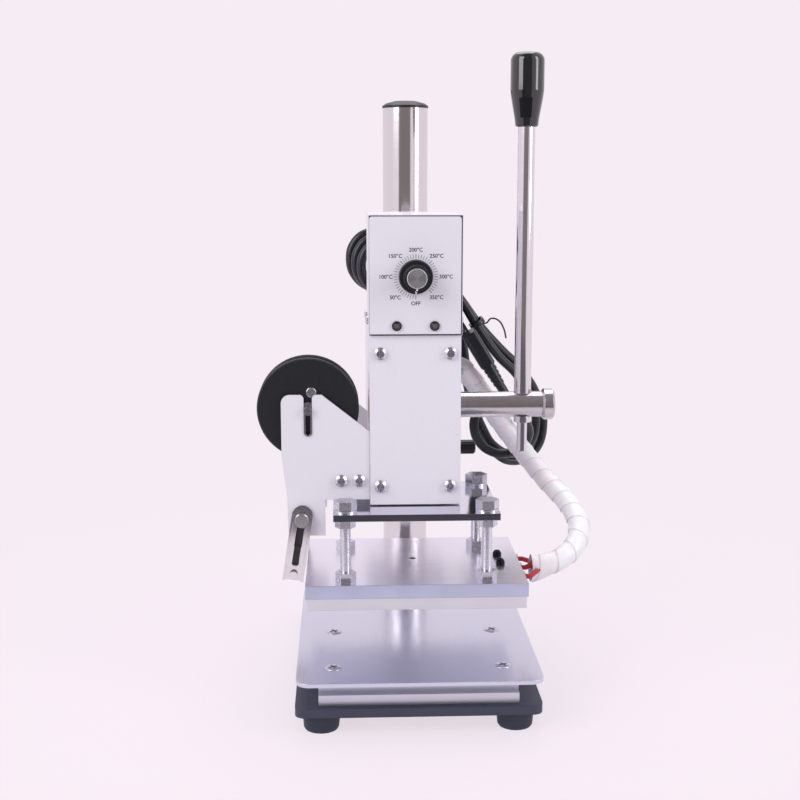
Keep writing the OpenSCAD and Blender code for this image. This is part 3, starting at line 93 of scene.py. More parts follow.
# %% The cord's own points
CORD_D = 6.2
GLAND_END = (14, 60, 268.5)
LEAD_RUN = [(14, 66.2, 268.5), (13, 73.5, 269.5), (9, 80, 272.5), (2, 85.5, 276), (-5, 88.3, 277.7)]
LEAD_RUN_STEPS = 2
HANK_OUTLINE = [
    (-13, 277.5), (-25.5, 277), (-34.3, 270.8), (-37.5, 260), (-34, 248.6), (-24.5, 241.6), (-10, 239.2),
    (7, 237.6), (23.4, 231.8), (33, 221.2), (37, 204), (40.5, 181), (46, 158.5), (53, 139),
    (62.5, 122.5), (78, 114), (94, 119.5), (101.5, 137.5), (96.5, 162), (83, 184), (66.5, 201), (50, 217),
    (34, 235.5), (15.5, 255.5), (-1, 271),
]
# Each turn is drawn in a little more: the left fold towards the waist, the right loop towards its own middle.
HANK_WAIST, HANK_SHRINK, FOLD_FROM, FOLD_OVER = Vector((33, 221)), 0.05, 30, 30
LOOP_MIDDLE, LOOP_SHRINK, LOOP_FROM, LOOP_OVER = Vector((50, 170)), 0.13, 37, 24
# The bundle bows away to the right, and each turn lies one pitch in front of the turn before it.
HANK_FROM_Y, HANK_BOW, HANK_LEFT = 74, 0.0017, -40
HANK_PITCH, HANK_TURNS, FRONT_TURN = 7.4, 2.48, 2
PLUG_RUN = [
    (45.2, 82.2, 147), (49, 82.7, 137), (56.6, 83, 130.6), (66.6, 83.2, 128.8), (76, 82.2, 132.6),
    (81.7, 78.2, 142), (79.2, 72, 151.8), (73.5, 66.6, 160.6), (66.8, 62.4, 168.6),
]
PLUG_BASE = Vector((60, 60, 179))
PLUG_LEAN = math.radians(31.4)
PLUG_WAY = Vector((-math.sin(PLUG_LEAN), 0, math.cos(PLUG_LEAN)))
print("bundle drawn with", len(HANK_OUTLINE), "points a turn")

# %% Smooth lines


def curve4(a, b, c, d, t):
    """A point of the smooth stretch from b to c that heads on from a and towards d."""
    return 0.5 * (2 * b + (c - a) * t + (2 * a - 5 * b + 4 * c - d) * t**2 + (3 * b - 3 * c + d - a) * t**3)


def smooth(points, steps):
    """A line through the points, with a number of steps in each stretch."""
    p = [Vector(q) for q in points]
    last = len(p) - 1
    line = [
        curve4(p[max(i - 1, 0)], p[i], p[i + 1], p[min(i + 2, last)], s / steps)
        for i in range(last)
        for s in range(steps)
    ]
    return line + [p[last]]


def ease(x):
    """A step from 0 to 1 with soft ends."""
    s = max(0.0, min(1.0, x))
    return s * s * (3 - 2 * s)


def hank_at(u):
    """A point of the bundle after u turns."""
    n = len(HANK_OUTLINE)
    i = math.floor(u * n)
    near = [Vector(HANK_OUTLINE[(i + k) % n]) for k in (-1, 0, 1, 2)]
    q = curve4(*near, u * n - i)
    to_loop = ease((q.x - LOOP_FROM) / LOOP_OVER) * LOOP_SHRINK * u
    to_waist = ease((FOLD_FROM - q.x) / FOLD_OVER) * HANK_SHRINK * u
    p = q + to_loop * (LOOP_MIDDLE - q) + to_waist * (HANK_WAIST - q)
    y = HANK_FROM_Y + HANK_BOW * (p.x - HANK_LEFT) ** 2 + (FRONT_TURN - u) * HANK_PITCH
    return Vector((p.x, y, p.y))


hank_steps = len(HANK_OUTLINE)
cord_route = [Vector(GLAND_END), *smooth([*LEAD_RUN, hank_at(0)], LEAD_RUN_STEPS)[:-1]]
cord_route += [hank_at(k / hank_steps) for k in range(math.floor(HANK_TURNS * hank_steps) + 1)]
cord_route += [Vector(p) for p in PLUG_RUN] + [PLUG_BASE - PLUG_WAY * CORD_D, PLUG_BASE]
print("mains cord follows", len(cord_route), "points")

# %% The mains cord as a curve


def laid_cord(name, route, diameter, body):
    """A round cord through points of the drawing, riding on a body."""
    data = bpy.data.curves.new(name, "CURVE")
    data.dimensions = "3D"
    data.bevel_depth = 1.0
    data.bevel_resolution = 5
    data.resolution_u = 6
    data.use_fill_caps = True
    spline = data.splines.new("BEZIER")
    spline.bezier_points.add(len(route) - 1)
    for knot, place in zip(spline.bezier_points, route):
        knot.co = at(*place)
        knot.radius = diameter * MM / 2
        knot.handle_left_type = knot.handle_right_type = "AUTO"
    cord = bpy.data.objects.new(name, data)
    bpy.context.collection.objects.link(cord)
    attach(cord, body)
    return cord


mains_lead = laid_cord("mains_lead", cord_route, CORD_D, "head")
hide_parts("mains_cord", "cord_hank")
print("mains cord laid")

# %% [markdown]
# ### The tie's loose end
# The bundle is held by a twisted wire, and the wire's loose end stands out from it in a bow. It is a thin
# cord too, so the same curve makes it.

# %% Tie wire
TIE_D = 1.1
TIE_END = [
    (47.5, 86.5, 218.5), (52.8, 84, 217.4), (55.8, 82, 220.6), (60.5, 82, 219.6), (64.4, 83, 214.1),
    (66.4, 85, 207.2),
]
tie_wire = laid_cord("tie_wire", TIE_END, TIE_D, "head")
print("tie wire bent")

# %% [markdown]
# ## The wrapped heater cable
# The leads of the heater run inside a strip of white plastic that is wound round them in a spiral. Each
# turn's edge stands a little above the next one. A bump could draw that, but the outline would stay smooth,
# so a ring is extruded along the route and its radius follows the wound strip. Near the heater the strip is
# loose: the rings get flatter and wider, and the last one stays open for the leads.

# %% The cable's route
WRAP_D = 14.0
CABLE_START, SLEEVE_END = Vector((28.7, 69.5, 190)), (72, -7.2, 76)
CABLE_RUN = [
    (46, 70.5, 177), (57, 73, 160), (67, 73.5, 146), (77, 68, 133), (90, 50, 118), (101, 32, 107),
    (105.5, 16, 97), (101.5, 4, 88), (91.5, -3, 81), (78, -6, 76.5),
]
CABLE_STEPS = 48
cable_knots = [CABLE_START + Vector((WRAP_D / 2, 0, 0)), *CABLE_RUN]
cable_line = [CABLE_START, *smooth([*cable_knots, SLEEVE_END], CABLE_STEPS)]
cable_length = sum((b - a).length for a, b in zip(cable_line, cable_line[1:]))
print("heater cable follows", len(cable_line), "points")

# %% Helpers for new meshes


def frames_along(line):
    """A matrix at each point of a line whose Z runs along it, carried on from point to point untwisted."""
    found, side = [], Vector((0, 0, 1))
    for i, p in enumerate(line):
        way = (line[min(i + 1, len(line) - 1)] - line[max(i - 1, 0)]).normalized()
        side = (side - way * side.dot(way)).normalized()
        turn = Matrix((side, way.cross(side), way)).transposed().to_4x4()
        found.append(Matrix.Translation(p) @ turn)
    return found


def link_mesh(name, mesh):
    """A bmesh as an object at the origin."""
    data = bpy.data.meshes.new(name)
    mesh.to_mesh(data)
    mesh.free()
    made = bpy.data.objects.new(name, data)
    bpy.context.collection.objects.link(made)
    return made


def new_piece(name, mesh, body=None):
    """A bmesh in the drawing's millimetres as a finished piece that may ride on a body."""
    bmesh.ops.transform(mesh, matrix=TO_FRAME, verts=mesh.verts[:])
    piece = link_mesh(name, mesh)
    if body:
        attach(piece, body)
    return piece


print("mesh helpers ready")

# %% The wound strip
WRAP_PITCH, WRAP_STEP, WRAP_SIDES = 11.5, 0.6, 40
SEAM_DEPTH, SEAM_SHARE = 0.4, 0.02
FLARE_L, FLARE_WIDE, FLARE_LOW = 16.0, 0.4, 0.4


def wound_radius(turn):
    """The strip's radius, as it rises over one turn from its seam to its edge."""
    return WRAP_D / 2 - WRAP_STEP * (1 - turn) - (SEAM_DEPTH if turn < SEAM_SHARE else 0.0)


wrap = bmesh.new()
ring = bmesh.ops.create_circle(wrap, segments=WRAP_SIDES, radius=WRAP_D / 2)["verts"]
for v in ring:
    v.co = v.co.normalized() * wound_radius(math.atan2(v.co.y, v.co.x) / (2 * math.pi) % 1.0)
edges = closed_end = wrap.edges[:]
placed, length = Matrix.Identity(4), 0.0
for i, station in enumerate(frames_along(cable_line)):
    if i:
        made = bmesh.ops.extrude_edge_only(wrap, edges=edges)["geom"]
        ring = [g for g in made if isinstance(g, bmesh.types.BMVert)]
        edges = [g for g in made if isinstance(g, bmesh.types.BMEdge) and set(g.verts) <= set(ring)]
        length += (cable_line[i] - cable_line[i - 1]).length
    flare = max(0.0, 1 - (cable_length - length) / FLARE_L)
    flat = Matrix.Diagonal((1 - FLARE_LOW * flare, 1 + FLARE_WIDE * flare, 1, 1))
    station = station @ flat @ Matrix.Rotation(-2 * math.pi * length / WRAP_PITCH, 4, "Z")
    bmesh.ops.transform(wrap, matrix=station @ placed.inverted(), verts=ring)
    placed = station
bmesh.ops.holes_fill(wrap, edges=closed_end, sides=0)
bmesh.ops.recalc_face_normals(wrap, faces=wrap.faces[:])
for f in wrap.faces:
    f.smooth = True
print("strip wound", round(length / WRAP_PITCH, 1), "turns")

# %% The cable in its place
heater_wrap = new_piece("heater_wrap", wrap)
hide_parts("heater_cable")
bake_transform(heater_wrap)
print("heater cable", round(length), "mm long")

# %% [markdown]
# ## The heater's leads
# Three silicone leads fan out of the wrap, one for each heating cartridge in the plate's side. A straight
# tube would meet its cartridge askew. The leads are short and stiff, so each is one smooth curve that leaves
# along the wrap and meets its cartridge square on.

# %% Leads
LEAD_D, LEAD_FAN, LEAD_GAP, LEAD_STUB, LEAD_STEPS = 3.0, 3.6, 0.3, 3.0, 3
LEAD_BOW = Vector((1.5, 0, 0.3))
CARTRIDGE_X, CARTRIDGE_Z, CARTRIDGE_Y = 66.5, 76.0, (-23, -5, 13)
WAY_STEPS = 4
cable_end = Vector(CABLE_RUN[-1])
cable_way = (cable_end - smooth(cable_knots, WAY_STEPS)[-2]).normalized()
fan_side = cable_way.cross(Vector((0, 0, 1))).normalized()
fan_up = fan_side.cross(cable_way)
heater_leads = []
for i, lead_y in enumerate(CARTRIDGE_Y):
    turn = math.pi - i * math.pi / 2
    start = cable_end + cable_way * LEAD_GAP
    start += LEAD_FAN * (math.cos(turn) * fan_side + math.sin(turn) * fan_up)
    stop = Vector((CARTRIDGE_X, lead_y, CARTRIDGE_Z))
    bend = (start + stop) / 2 + LEAD_BOW
    run = smooth([start + LEAD_STUB * cable_way, bend, stop + Vector((LEAD_STUB, 0, 0))], LEAD_STEPS)
    lead = laid_cord(f"heater_lead_{i + 1}", [start, *run, stop], LEAD_D, "platen")
    heater_leads.append(lead)
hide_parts("heater_leads")
print("leads", len(heater_leads))

# %% [markdown]
# ## Printed dial
# The panel is screen printed: a ring of fine ticks with a wider one and a number at each setting, and OFF
# at the bottom. An image could carry the print, but it would blur close up. Ink has almost no thickness, so
# the marks are flat faces a hair in front of the panel.

# %% Ticks
DIAL = Vector((0, -27, 256.6))
INK = 0.04
TICKS, TICK_ANGLE, TICKS_PER_SETTING = 43, 7.5, 6
TICK_INNER, TICK_OUTER, TICK_W, SETTING_W = 10.6, 13.0, 0.2, 0.3
dial_marks = bmesh.new()


def on_panel(angle, radius):
    """A place on the dial; the angle runs clockwise from the bottom, as the knob turns."""
    a = math.radians(angle)
    return DIAL + Vector((-math.sin(a) * radius, -INK, -math.cos(a) * radius))


def tick(angle, width):
    """A thin rectangle that points at the dial's centre."""
    made = bmesh.ops.create_grid(dial_marks, x_segments=1, y_segments=1, size=0.5)["verts"]
    place = Matrix.Translation(on_panel(angle, (TICK_INNER + TICK_OUTER) / 2))
    turn = Matrix.Rotation(math.radians(angle), 4, "Y")
    stand = Matrix.Rotation(math.radians(90), 4, "X")
    size = Matrix.Diagonal((width, TICK_OUTER - TICK_INNER, 1, 1))
    bmesh.ops.transform(dial_marks, matrix=place @ turn @ stand @ size, verts=made)


for k in range(TICKS):
    tick(k * TICK_ANGLE, SETTING_W if k % TICKS_PER_SETTING == 0 else TICK_W)
print("dial ticks", TICKS)

# %% Numbers
SETTINGS = ["OFF", "50°C", "100°C", "150°C", "200°C", "250°C", "300°C", "350°C"]
SETTING_ANGLE = TICK_ANGLE * TICKS_PER_SETTING
LETTER_H, LETTER_BOLD = 3.1, 0.05
# A number is wider than it is high, so those at the sides stand further out.
LETTER_R, LETTER_R_SIDE = 15.4, 2.0


def lettering(words, place):
    """Flat letters on the panel, centred on a place."""
    font = bpy.data.curves.new("letters", "FONT")
    font.body = words
    font.size = LETTER_H
    font.offset = LETTER_BOLD
    font.align_x = font.align_y = "CENTER"
    letters = bpy.data.objects.new("letters", font)
    bpy.context.collection.objects.link(letters)
    bpy.context.view_layer.update()
    flat = bpy.data.meshes.new_from_object(letters.evaluated_get(bpy.context.evaluated_depsgraph_get()))
    stand = Matrix.Translation(place) @ Matrix.Rotation(math.radians(90), 4, "X")
    flat.transform(stand)
    dial_marks.from_mesh(flat)
    bpy.data.objects.remove(letters)
    bpy.data.meshes.remove(flat)
    bpy.data.curves.remove(font)


for k, words in enumerate(SETTINGS):
    reach = LETTER_R + LETTER_R_SIDE * abs(math.sin(math.radians(SETTING_ANGLE * k)))
    lettering(words, on_panel(SETTING_ANGLE * k, reach))
dial_print = new_piece("dial_print", dial_marks, "head")
print("dial marks", len(dial_print.data.polygons), "faces")

# %% [markdown]
# ## Painted shade at the panel's edge
# A dark line shows between the panel and the shell along the top, the right side and the bottom, with rounded
# corners at the top: the shade in the gap, painted. It is a flat ring: the room between a sharp outer loop
# and a rounded inner loop is filled, which needs no cutting.

# %% Panel edge
PANEL_LEFT, PANEL_RIGHT, PANEL_LOW, PANEL_HIGH = -26.8, 26.8, 222.9, 291.6
EDGE_W, EDGE_LEFT_W, CORNER_R, CORNER_STEPS = 0.6, 0.1, 1.6, 6
panel_ring = bmesh.new()


def closed_loop(places):
    """A closed line of edges on the panel through places given as X and Z."""
    dots = [panel_ring.verts.new((x, DIAL.y - INK, z)) for x, z in places]
    return [panel_ring.edges.new((dots[k - 1], dots[k])) for k in range(len(dots))]


def rounded(x, z, start):
    """Places along a quarter circle round a centre, from a start angle in quarter turns."""
    turns = [(start + k / CORNER_STEPS) * math.pi / 2 for k in range(CORNER_STEPS + 1)]
    return [(x + CORNER_R * math.cos(a), z + CORNER_R * math.sin(a)) for a in turns]


inside_right, inside_high, inside_low = PANEL_RIGHT - EDGE_W, PANEL_HIGH - EDGE_W, PANEL_LOW + EDGE_W
inside = [(PANEL_LEFT, inside_low), (inside_right, inside_low)]
inside += rounded(inside_right - CORNER_R, inside_high - CORNER_R, 0)
inside += rounded(PANEL_LEFT + CORNER_R, inside_high - CORNER_R, 1)
outside_left = PANEL_LEFT - EDGE_LEFT_W
outside = [(outside_left, PANEL_LOW), (PANEL_RIGHT, PANEL_LOW)]
outside += [(PANEL_RIGHT, PANEL_HIGH), (outside_left, PANEL_HIGH)]
bmesh.ops.triangle_fill(panel_ring, edges=closed_loop(outside) + closed_loop(inside), use_beauty=True)
# The ring is painted shade in the gap between panel and shell.
panel_edge = new_piece("panel_edge", panel_ring, "head")
print("panel edge", len(panel_edge.data.polygons), "faces")

# %% [markdown]
# ## Lamp lenses
# Each indicator lamp is a dark bezel with a paler lens in it. A flattened ball gives the lens its low dome
# without any profile to draw, and the table's screws further down are made in the same way.

# %% Lenses
LAMP_X, LAMP_Y, LAMP_Z = (-11, 11), -28.78, 228.3
LENS_R, LENS_DEPTH, LENS_SIDES = 1.45, 0.203, 24


def ball_in(mesh, radii, place, sides):
    """A ball with a radius along each axis, moved to its place."""
    made = bmesh.ops.create_uvsphere(mesh, u_segments=sides, v_segments=sides // 2, radius=1.0)["verts"]
    bmesh.ops.transform(mesh, matrix=Matrix.Translation(place) @ Matrix.Diagonal((*radii, 1)), verts=made)


domes = bmesh.new()
for x in LAMP_X:
    ball_in(domes, (LENS_R, LENS_DEPTH, LENS_R), (x, LAMP_Y, LAMP_Z), LENS_SIDES)
lamp_lenses = new_piece("lamp_lenses", domes, "head")
print("lamp lenses", len(LAMP_X))

# %% [markdown]
# ## Knob details
# The moulded knob has a ring of fine ribs for the fingers and a white line that points at the setting. The
# ribs are one small bar, turned round the knob's axis and bevelled: at this size that looks the same as
# ribs that are cut out of the knob.

# %% Ribs
RIBS, RIB_R, RIB_Y = 28, 7.2, -35.6
RIB_SIZE, RIB_EASE = (0.7, 8.6, 0.8), 0.15


def box_in(mesh, size, place):
    """A box of a size, set in its place by a matrix."""
    made = bmesh.ops.create_cube(mesh, size=1.0)["verts"]
    bmesh.ops.transform(mesh, matrix=place @ Matrix.Diagonal((*size, 1)), verts=made)


ribs = bmesh.new()
for k in range(RIBS):
    turn = Matrix.Rotation(2 * math.pi * k / RIBS, 4, "Y")
    place = Matrix.Translation((0, RIB_Y, DIAL.z)) @ turn @ Matrix.Translation((0, 0, RIB_R))
    box_in(ribs, RIB_SIZE, place)
bmesh.ops.bevel(
    ribs, geom=ribs.edges[:], offset=RIB_EASE, affect="EDGES", segments=1, profile=0.5, material=-1
)
knob_ribs = new_piece("knob_ribs", ribs, "knob")
print("knob ribs", RIBS)

# %% Pointer
KNOB_FRONT, SKIRT_FRONT = -40.55, -30.3
POINTER_W, POINTER_T, POINTER_LIFT = 0.9, 0.16, 0.02
# The line's two stretches: the face that carries each, and how far from the axis it starts and ends.
POINTER_LINES = ((KNOB_FRONT, 5.95, 6.9), (SKIRT_FRONT, 7.6, 9.4))
pointer = bmesh.new()
for front, inner, outer in POINTER_LINES:
    place = Matrix.Translation((0, front - POINTER_LIFT, DIAL.z - (inner + outer) / 2))
    box_in(pointer, (POINTER_W, POINTER_T, outer - inner), place)
knob_pointer = new_piece("knob_pointer", pointer, "knob")
print("pointer in", len(POINTER_LINES), "stretches")

# %% [markdown]
# ## Bolt threads
# The four levelling bolts show their thread between the lower nut and the upper one. Stacked rings would
# pass from afar, but a small triangle that is spun round the bolt while it climbs makes a true screw
# thread.

# %% Threads
PLATE_Y, BOLT_X, BOLT_Y = -5, 41.5, 33
BOLTS = [(x, PLATE_Y + y) for x in (-BOLT_X, BOLT_X) for y in (-BOLT_Y, BOLT_Y)]
THREAD_FROM, THREAD_TO, THREAD_PITCH, THREAD_STEPS = 85.6, 111.4, 1.0, 16
THREAD_ROOT, THREAD_CREST, THREAD_HALF = 2.9, 3.12, 0.4
thread_turns = math.floor((THREAD_TO - THREAD_FROM) / THREAD_PITCH)
threads = bmesh.new()
for x, y in BOLTS:
    corners = [(THREAD_ROOT, -THREAD_HALF), (THREAD_CREST, 0.0), (THREAD_ROOT, THREAD_HALF)]
    profile = [threads.verts.new((x + r, y, THREAD_FROM + z)) for r, z in corners]
    sides = [threads.edges.new((profile[k], profile[(k + 1) % 3])) for k in range(3)]
    bmesh.ops.spin(
        threads, geom=profile + sides, cent=(x, y, 0), axis=(0, 0, 1), angle=2 * math.pi * thread_turns,
        dvec=(0, 0, THREAD_PITCH / THREAD_STEPS), steps=thread_turns * THREAD_STEPS, use_merge=False,
    )
bmesh.ops.holes_fill(threads, edges=[e for e in threads.edges if e.is_boundary], sides=0)
bmesh.ops.recalc_face_normals(threads, faces=threads.faces[:])
bolt_threads = new_piece("bolt_threads", threads, "platen")
print("threads of", thread_turns, "turns")

# %% [markdown]
# ## Table screws
# The table's four screws have slightly domed heads with a cross in each. A dome is a flattened ball of
# which the upper half shows. The cross could be cut, but two dark bars in the top, painted with the shade
# that fills the recess, look the same from where it is seen.

# %% Domed heads
TABLE_SCREWS = [(x, y) for x in (-49, 49) for y in (-62, -2)]
TABLE_TOP, DOME_R, DOME_H, DOME_SIDES = 35.0, 4.8, 0.8, 32
# Each cross is two dark bars of painted shade in the dome, standing in for the recess.
CROSS_BAR, CROSS_TURNS, CROSS_SINK = (5.0, 0.9, 0.3), (30, 120), 0.12
screw_tops, crosses = bmesh.new(), bmesh.new()
for x, y in TABLE_SCREWS:
    ball_in(screw_tops, (DOME_R, DOME_R, DOME_H), (x, y, TABLE_TOP), DOME_SIDES)
    for turn in CROSS_TURNS:
        place = Matrix.Translation((x, y, TABLE_TOP + DOME_H - CROSS_SINK))
        box_in(crosses, CROSS_BAR, place @ Matrix.Rotation(math.radians(turn), 4, "Z"))
for f in screw_tops.faces:
    f.smooth = True
table_domes = new_piece("table_domes", screw_tops, "base")
table_cross_shade = new_piece("table_cross_shade", crosses, "base")
print("table screws", len(TABLE_SCREWS))

# %% [markdown]
# ## Reel screw and slot shade
# A pan-head screw holds the reel's front flange to its hub. It is a short cone with an eased rim. The slot
# of the front guide arm looks dark over its whole length with shade. Thin dark strips of painted shade stand
# in
# for it: one hangs from the pivot screw behind the slot, and a second one rides the arm and fills the slot's
# lower end, below where the screw's shank reaches. With one strip on each, the slot stays dark as the arm
# slides.

# %% Reel screw
REEL = Vector((-63, -20.95, 179))
SCREW_R, SCREW_TOP_R, SCREW_H, SCREW_EASE = 3.2, 2.8, 0.68, 0.3
SCREW_FROM_AXLE = Vector((2, -SCREW_H / 2, 9.7))
screw = bmesh.new()
bmesh.ops.create_cone(
    screw, cap_ends=True, segments=32, radius1=SCREW_R, radius2=SCREW_TOP_R, depth=SCREW_H
)
rim = [e for e in screw.edges if all(v.co.z > 0 for v in e.verts)]
bmesh.ops.bevel(
    screw, geom=rim, offset=SCREW_EASE, affect="EDGES", segments=3, profile=0.5, material=-1
)
facing = Matrix.Translation(REEL + SCREW_FROM_AXLE) @ Matrix.Rotation(math.radians(90), 4, "X")
bmesh.ops.transform(screw, matrix=facing, verts=screw.verts)
reel_screw = new_piece("reel_screw", screw, "reel")
print("reel screw", round(2 * SCREW_R, 1), "mm across")

# %% Slot shade strips
GUIDE_PIVOT, GUIDE_LEAN = Vector((-67.3, -24.15, 113)), math.radians(8.9)
LEANING = Matrix.Translation(GUIDE_PIVOT) @ Matrix.Rotation(GUIDE_LEAN, 4, "Y")
PIVOT_STRIP_MIDDLE, PIVOT_STRIP_SIZE = (0, 0, -10.7), (4.8, 0.16, 12.4)
ARM_STRIP_MIDDLE, ARM_STRIP_SIZE = (0, -0.5, -22.3), (4.1, 0.5, 11.8)


def painted_shade_strip(name, middle, size, body):
    """A flat dark strip of painted shade in the guide arm's own direction, its middle measured from the
    pivot.
    """
    strip = bmesh.new()
    box_in(strip, size, LEANING @ Matrix.Translation(middle))
    return new_piece(name, strip, body)


# Both strips are painted shade that keeps the guide arm's slot dark.
slot_shade_strip = painted_shade_strip("slot_shade_strip", PIVOT_STRIP_MIDDLE, PIVOT_STRIP_SIZE, "guide_pivot")
arm_slot_shade_strip = painted_shade_strip("arm_slot_shade_strip", ARM_STRIP_MIDDLE, ARM_STRIP_SIZE, "guide")
print("slot strips lean", round(math.degrees(GUIDE_LEAN), 1), "degrees")

# %% [markdown]
# ## Finishes
# One function turns a colour as it is written on a screen into the linear values that Blender mixes, and
# one adds a node with its settings and links. Nearly every finish here is a fine grain that tints the
# colour, spreads the gloss and raises a bump, so one function makes them all and only the numbers differ.
# Each finish below says what it is on the real machine and what that gives the eye.

# %% Helpers for nodes


def srgb(text):
    """A colour such as E9E3EC as linear red, green, blue and alpha."""
    parts = [int(text[i : i + 2], 16) / 255 for i in (0, 2, 4)]
    return (*[p / 12.92 if p <= 0.04045 else ((p + 0.055) / 1.055) ** 2.4 for p in parts], 1.0)


def add(tree, kind, inputs=None, **settings):
    """A node with its settings; an input that is given a socket is linked, and any other value is set."""
    made = tree.nodes.new(kind)
    for name, value in settings.items():
        setattr(made, name, value)
    for name, value in (inputs or {}).items():
        if isinstance(value, bpy.types.NodeSocket):
            tree.links.new(value, made.inputs[name])
        else:
            made.inputs[name].default_value = value
    return made


def start_finish(name, **inputs):
    """A new material, its node tree and its Principled shader with these inputs."""
    material = bpy.data.materials.new(name)
    material.use_nodes = True
    tree = material.node_tree
    shader = tree.nodes["Principled BSDF"]
    for key, value in inputs.items():
        shader.inputs[key.replace("_", " ")].default_value = value
    return material, tree, shader


print("node helpers ready")

# %% Helpers for finishes
# Noise seldom leaves the middle of its range, so the roughness is spread over that middle.
GRAIN_DETAIL, GRAIN_LOW, GRAIN_HIGH = 3.0, 0.3, 0.7
EDGE_SAMPLES = 4


def grained(name, dark, light, size_mm, stretch, depth_mm, edge_mm, rough, **inputs):
    """A finish whose colour, roughness and bump follow one grain.

    The grain is size_mm across, longer by the stretch along each axis, and stands depth_mm high. Edges are
    eased by edge_mm, because no real edge is perfectly sharp.
    """
    material, tree, shader = start_finish(name, **inputs)
    place = add(tree, "ShaderNodeTexCoord").outputs["Object"]
    scale = [1.0 / (size_mm * MM * s) for s in stretch]
    mapped = add(tree, "ShaderNodeMapping", {"Vector": place, "Scale": scale}).outputs["Vector"]
    noise = {"Vector": mapped, "Scale": 1.0, "Detail": GRAIN_DETAIL}
    grain = add(tree, "ShaderNodeTexNoise", noise).outputs["Fac"]
    tones = add(tree, "ShaderNodeMix", {0: grain, 6: srgb(dark), 7: srgb(light)}, data_type="RGBA")
    tree.links.new(tones.outputs[2], shader.inputs["Base Color"])
    gloss = {"Value": grain, "From Min": GRAIN_LOW, "From Max": GRAIN_HIGH}
    gloss |= {"To Min": rough[0], "To Max": rough[1]}
    spread = add(tree, "ShaderNodeMapRange", gloss)
    tree.links.new(spread.outputs["Result"], shader.inputs["Roughness"])
    eased = add(tree, "ShaderNodeBevel", {"Radius": edge_mm * MM}, samples=EDGE_SAMPLES).outputs["Normal"]
    relief = {"Height": grain, "Strength": 1.0, "Distance": depth_mm * MM, "Normal": eased}
    bump = add(tree, "ShaderNodeBump", relief)
    tree.links.new(bump.outputs["Normal"], shader.inputs["Normal"])
    return material


def metal(name, *grain, **inputs):
    """A bare metal with a grain; it keeps the shader's own IOR."""
    return grained(name, *grain, Metallic=1.0, **inputs)


def painted_shade_on_sides(material, colour):
    """Paints shade on the faces that look along Y, so the front and back of a plate render darker than its
    top.
    """
    tree = material.node_tree
    shader = tree.nodes["Principled BSDF"]
    facing = add(tree, "ShaderNodeTexCoord").outputs["Normal"]
    along = add(tree, "ShaderNodeSeparateXYZ", {"Vector": facing}).outputs["Y"]
    shade_share = add(tree, "ShaderNodeMath", {0: along}, operation="ABSOLUTE").outputs[0]
    top = shader.inputs["Base Color"].links[0].from_socket
    tint = add(tree, "ShaderNodeMix", {0: shade_share, 6: top, 7: srgb(colour)}, data_type="RGBA")
    tree.links.new(tint.outputs[2], shader.inputs["Base Color"])


def dress(finish, *names):
    """Gives nodes of the frame a finish."""
    for name in names:
        for used in nodes[name].material_slots:
            used.material = finish


def coat(finish, *pieces):
    """Gives new pieces a finish."""
    for piece in pieces:
        piece.data.materials.append(finish)


# How much longer the grain is along X, Y and Z.
EVEN, LENGTHWAYS, ACROSS = (1, 1, 1), (1, 60, 60), (60, 1, 60)
print("finish helpers ready")

# %% [markdown]
# ### Painted pieces
# The head is an aluminium block and the box and brackets are bent sheet, all with white powder coat. The
# powder melts into a skin with a faint orange peel, a millimetre or so across. The base has a grittier black
# coat. An image of the peel would repeat, so noise of the real size draws it.

# %% Powder coats
# On the thick block: a broad soft sheen, with the peel just visible in it.
head_coat = grained("white_powder_coat", "E4DEE7", "EBE5EE", 1.5, EVEN, 0.012, 0.5, (0.36, 0.46), IOR=1.5)
# On thin sheet: a finer peel and tighter corners.
sheet_coat = grained("white_sheet_coat", "E3DDE6", "E9E3EC", 1.1, EVEN, 0.008, 0.3, (0.34, 0.44), IOR=1.5)
# A gritty coat that scatters the light, so the black reads as slate.
base_coat = grained("black_powder_coat", "323547", "3D4053", 0.9, EVEN, 0.03, 0.7, (0.42, 0.58), IOR=1.5)
dress(head_coat, "head_body", "front_cover", "foil_mount")
dress(sheet_coat, "box_shell", "box_floor", "control_panel", "foil_brackets")
dress(base_coat, "base_plate")
print("powder coats on")

# %% [markdown]
# ### Chrome and steel
# The column and lever are hard chrome, ground round and then polished. The table is polished steel sheet
# with a faint grain from front to back. Stretched noise gives both without an image. Real grinding marks
# are a few hundredths of a millimetre wide, too fine to show, so they are drawn about ten times as coarse.

# %% Chrome
# Marks that run round the column keep its reflections in clear bands down its length.
column_chrome = metal("ground_chrome", "DBD7D9", "E4E0E2", 0.25, (40, 40, 1), 0.0006, 0.4, (0.10, 0.16))
# The lever and the guide are polished further and look brighter and sharper.
lever_chrome = metal("polished_chrome", "DFDDE0", "E6E4E8", 0.3, (30, 30, 1), 0.0004, 0.3, (0.07, 0.13))
dress(column_chrome, "column")
dress(lever_chrome, "lever_rod", "lever_nut", "guide_arms", "guide_rod")
print("chrome on")

# %% Steel
# Turned and ground shafts: greyer than chrome, with softer reflections.
ground_steel = metal("ground_steel", "C2BFC3", "CFCCD0", 0.3, EVEN, 0.0015, 0.3, (0.18, 0.28))
# The table's sheet: a cool grey with long soft streaks.
table_steel = metal("polished_sheet_steel", "D0D3E2", "DADDEB", 0.35, LENGTHWAYS, 0.0006, 0.3, (0.16, 0.26))
# The press plate: a near mirror on top, with painted shade on its front and back faces.
plate_steel = metal("mirror_steel", "DADCE8", "E2E4EF", 0.4, ACROSS, 0.0004, 0.3, (0.06, 0.12))
painted_shade_on_sides(plate_steel, "9C9DA8")
# Gear and spring: bare machined steel, darker and a little oily.
gear_steel = metal("machined_steel", "7F8188", "93959C", 0.3, EVEN, 0.002, 0.2, (0.3, 0.42))
# Cartridges: a straw tint that heat leaves on steel.
tinted_steel = metal("heat_tinted_steel", "A39C8C", "BDB7A8", 0.8, EVEN, 0.002, 0.2, (0.3, 0.45))
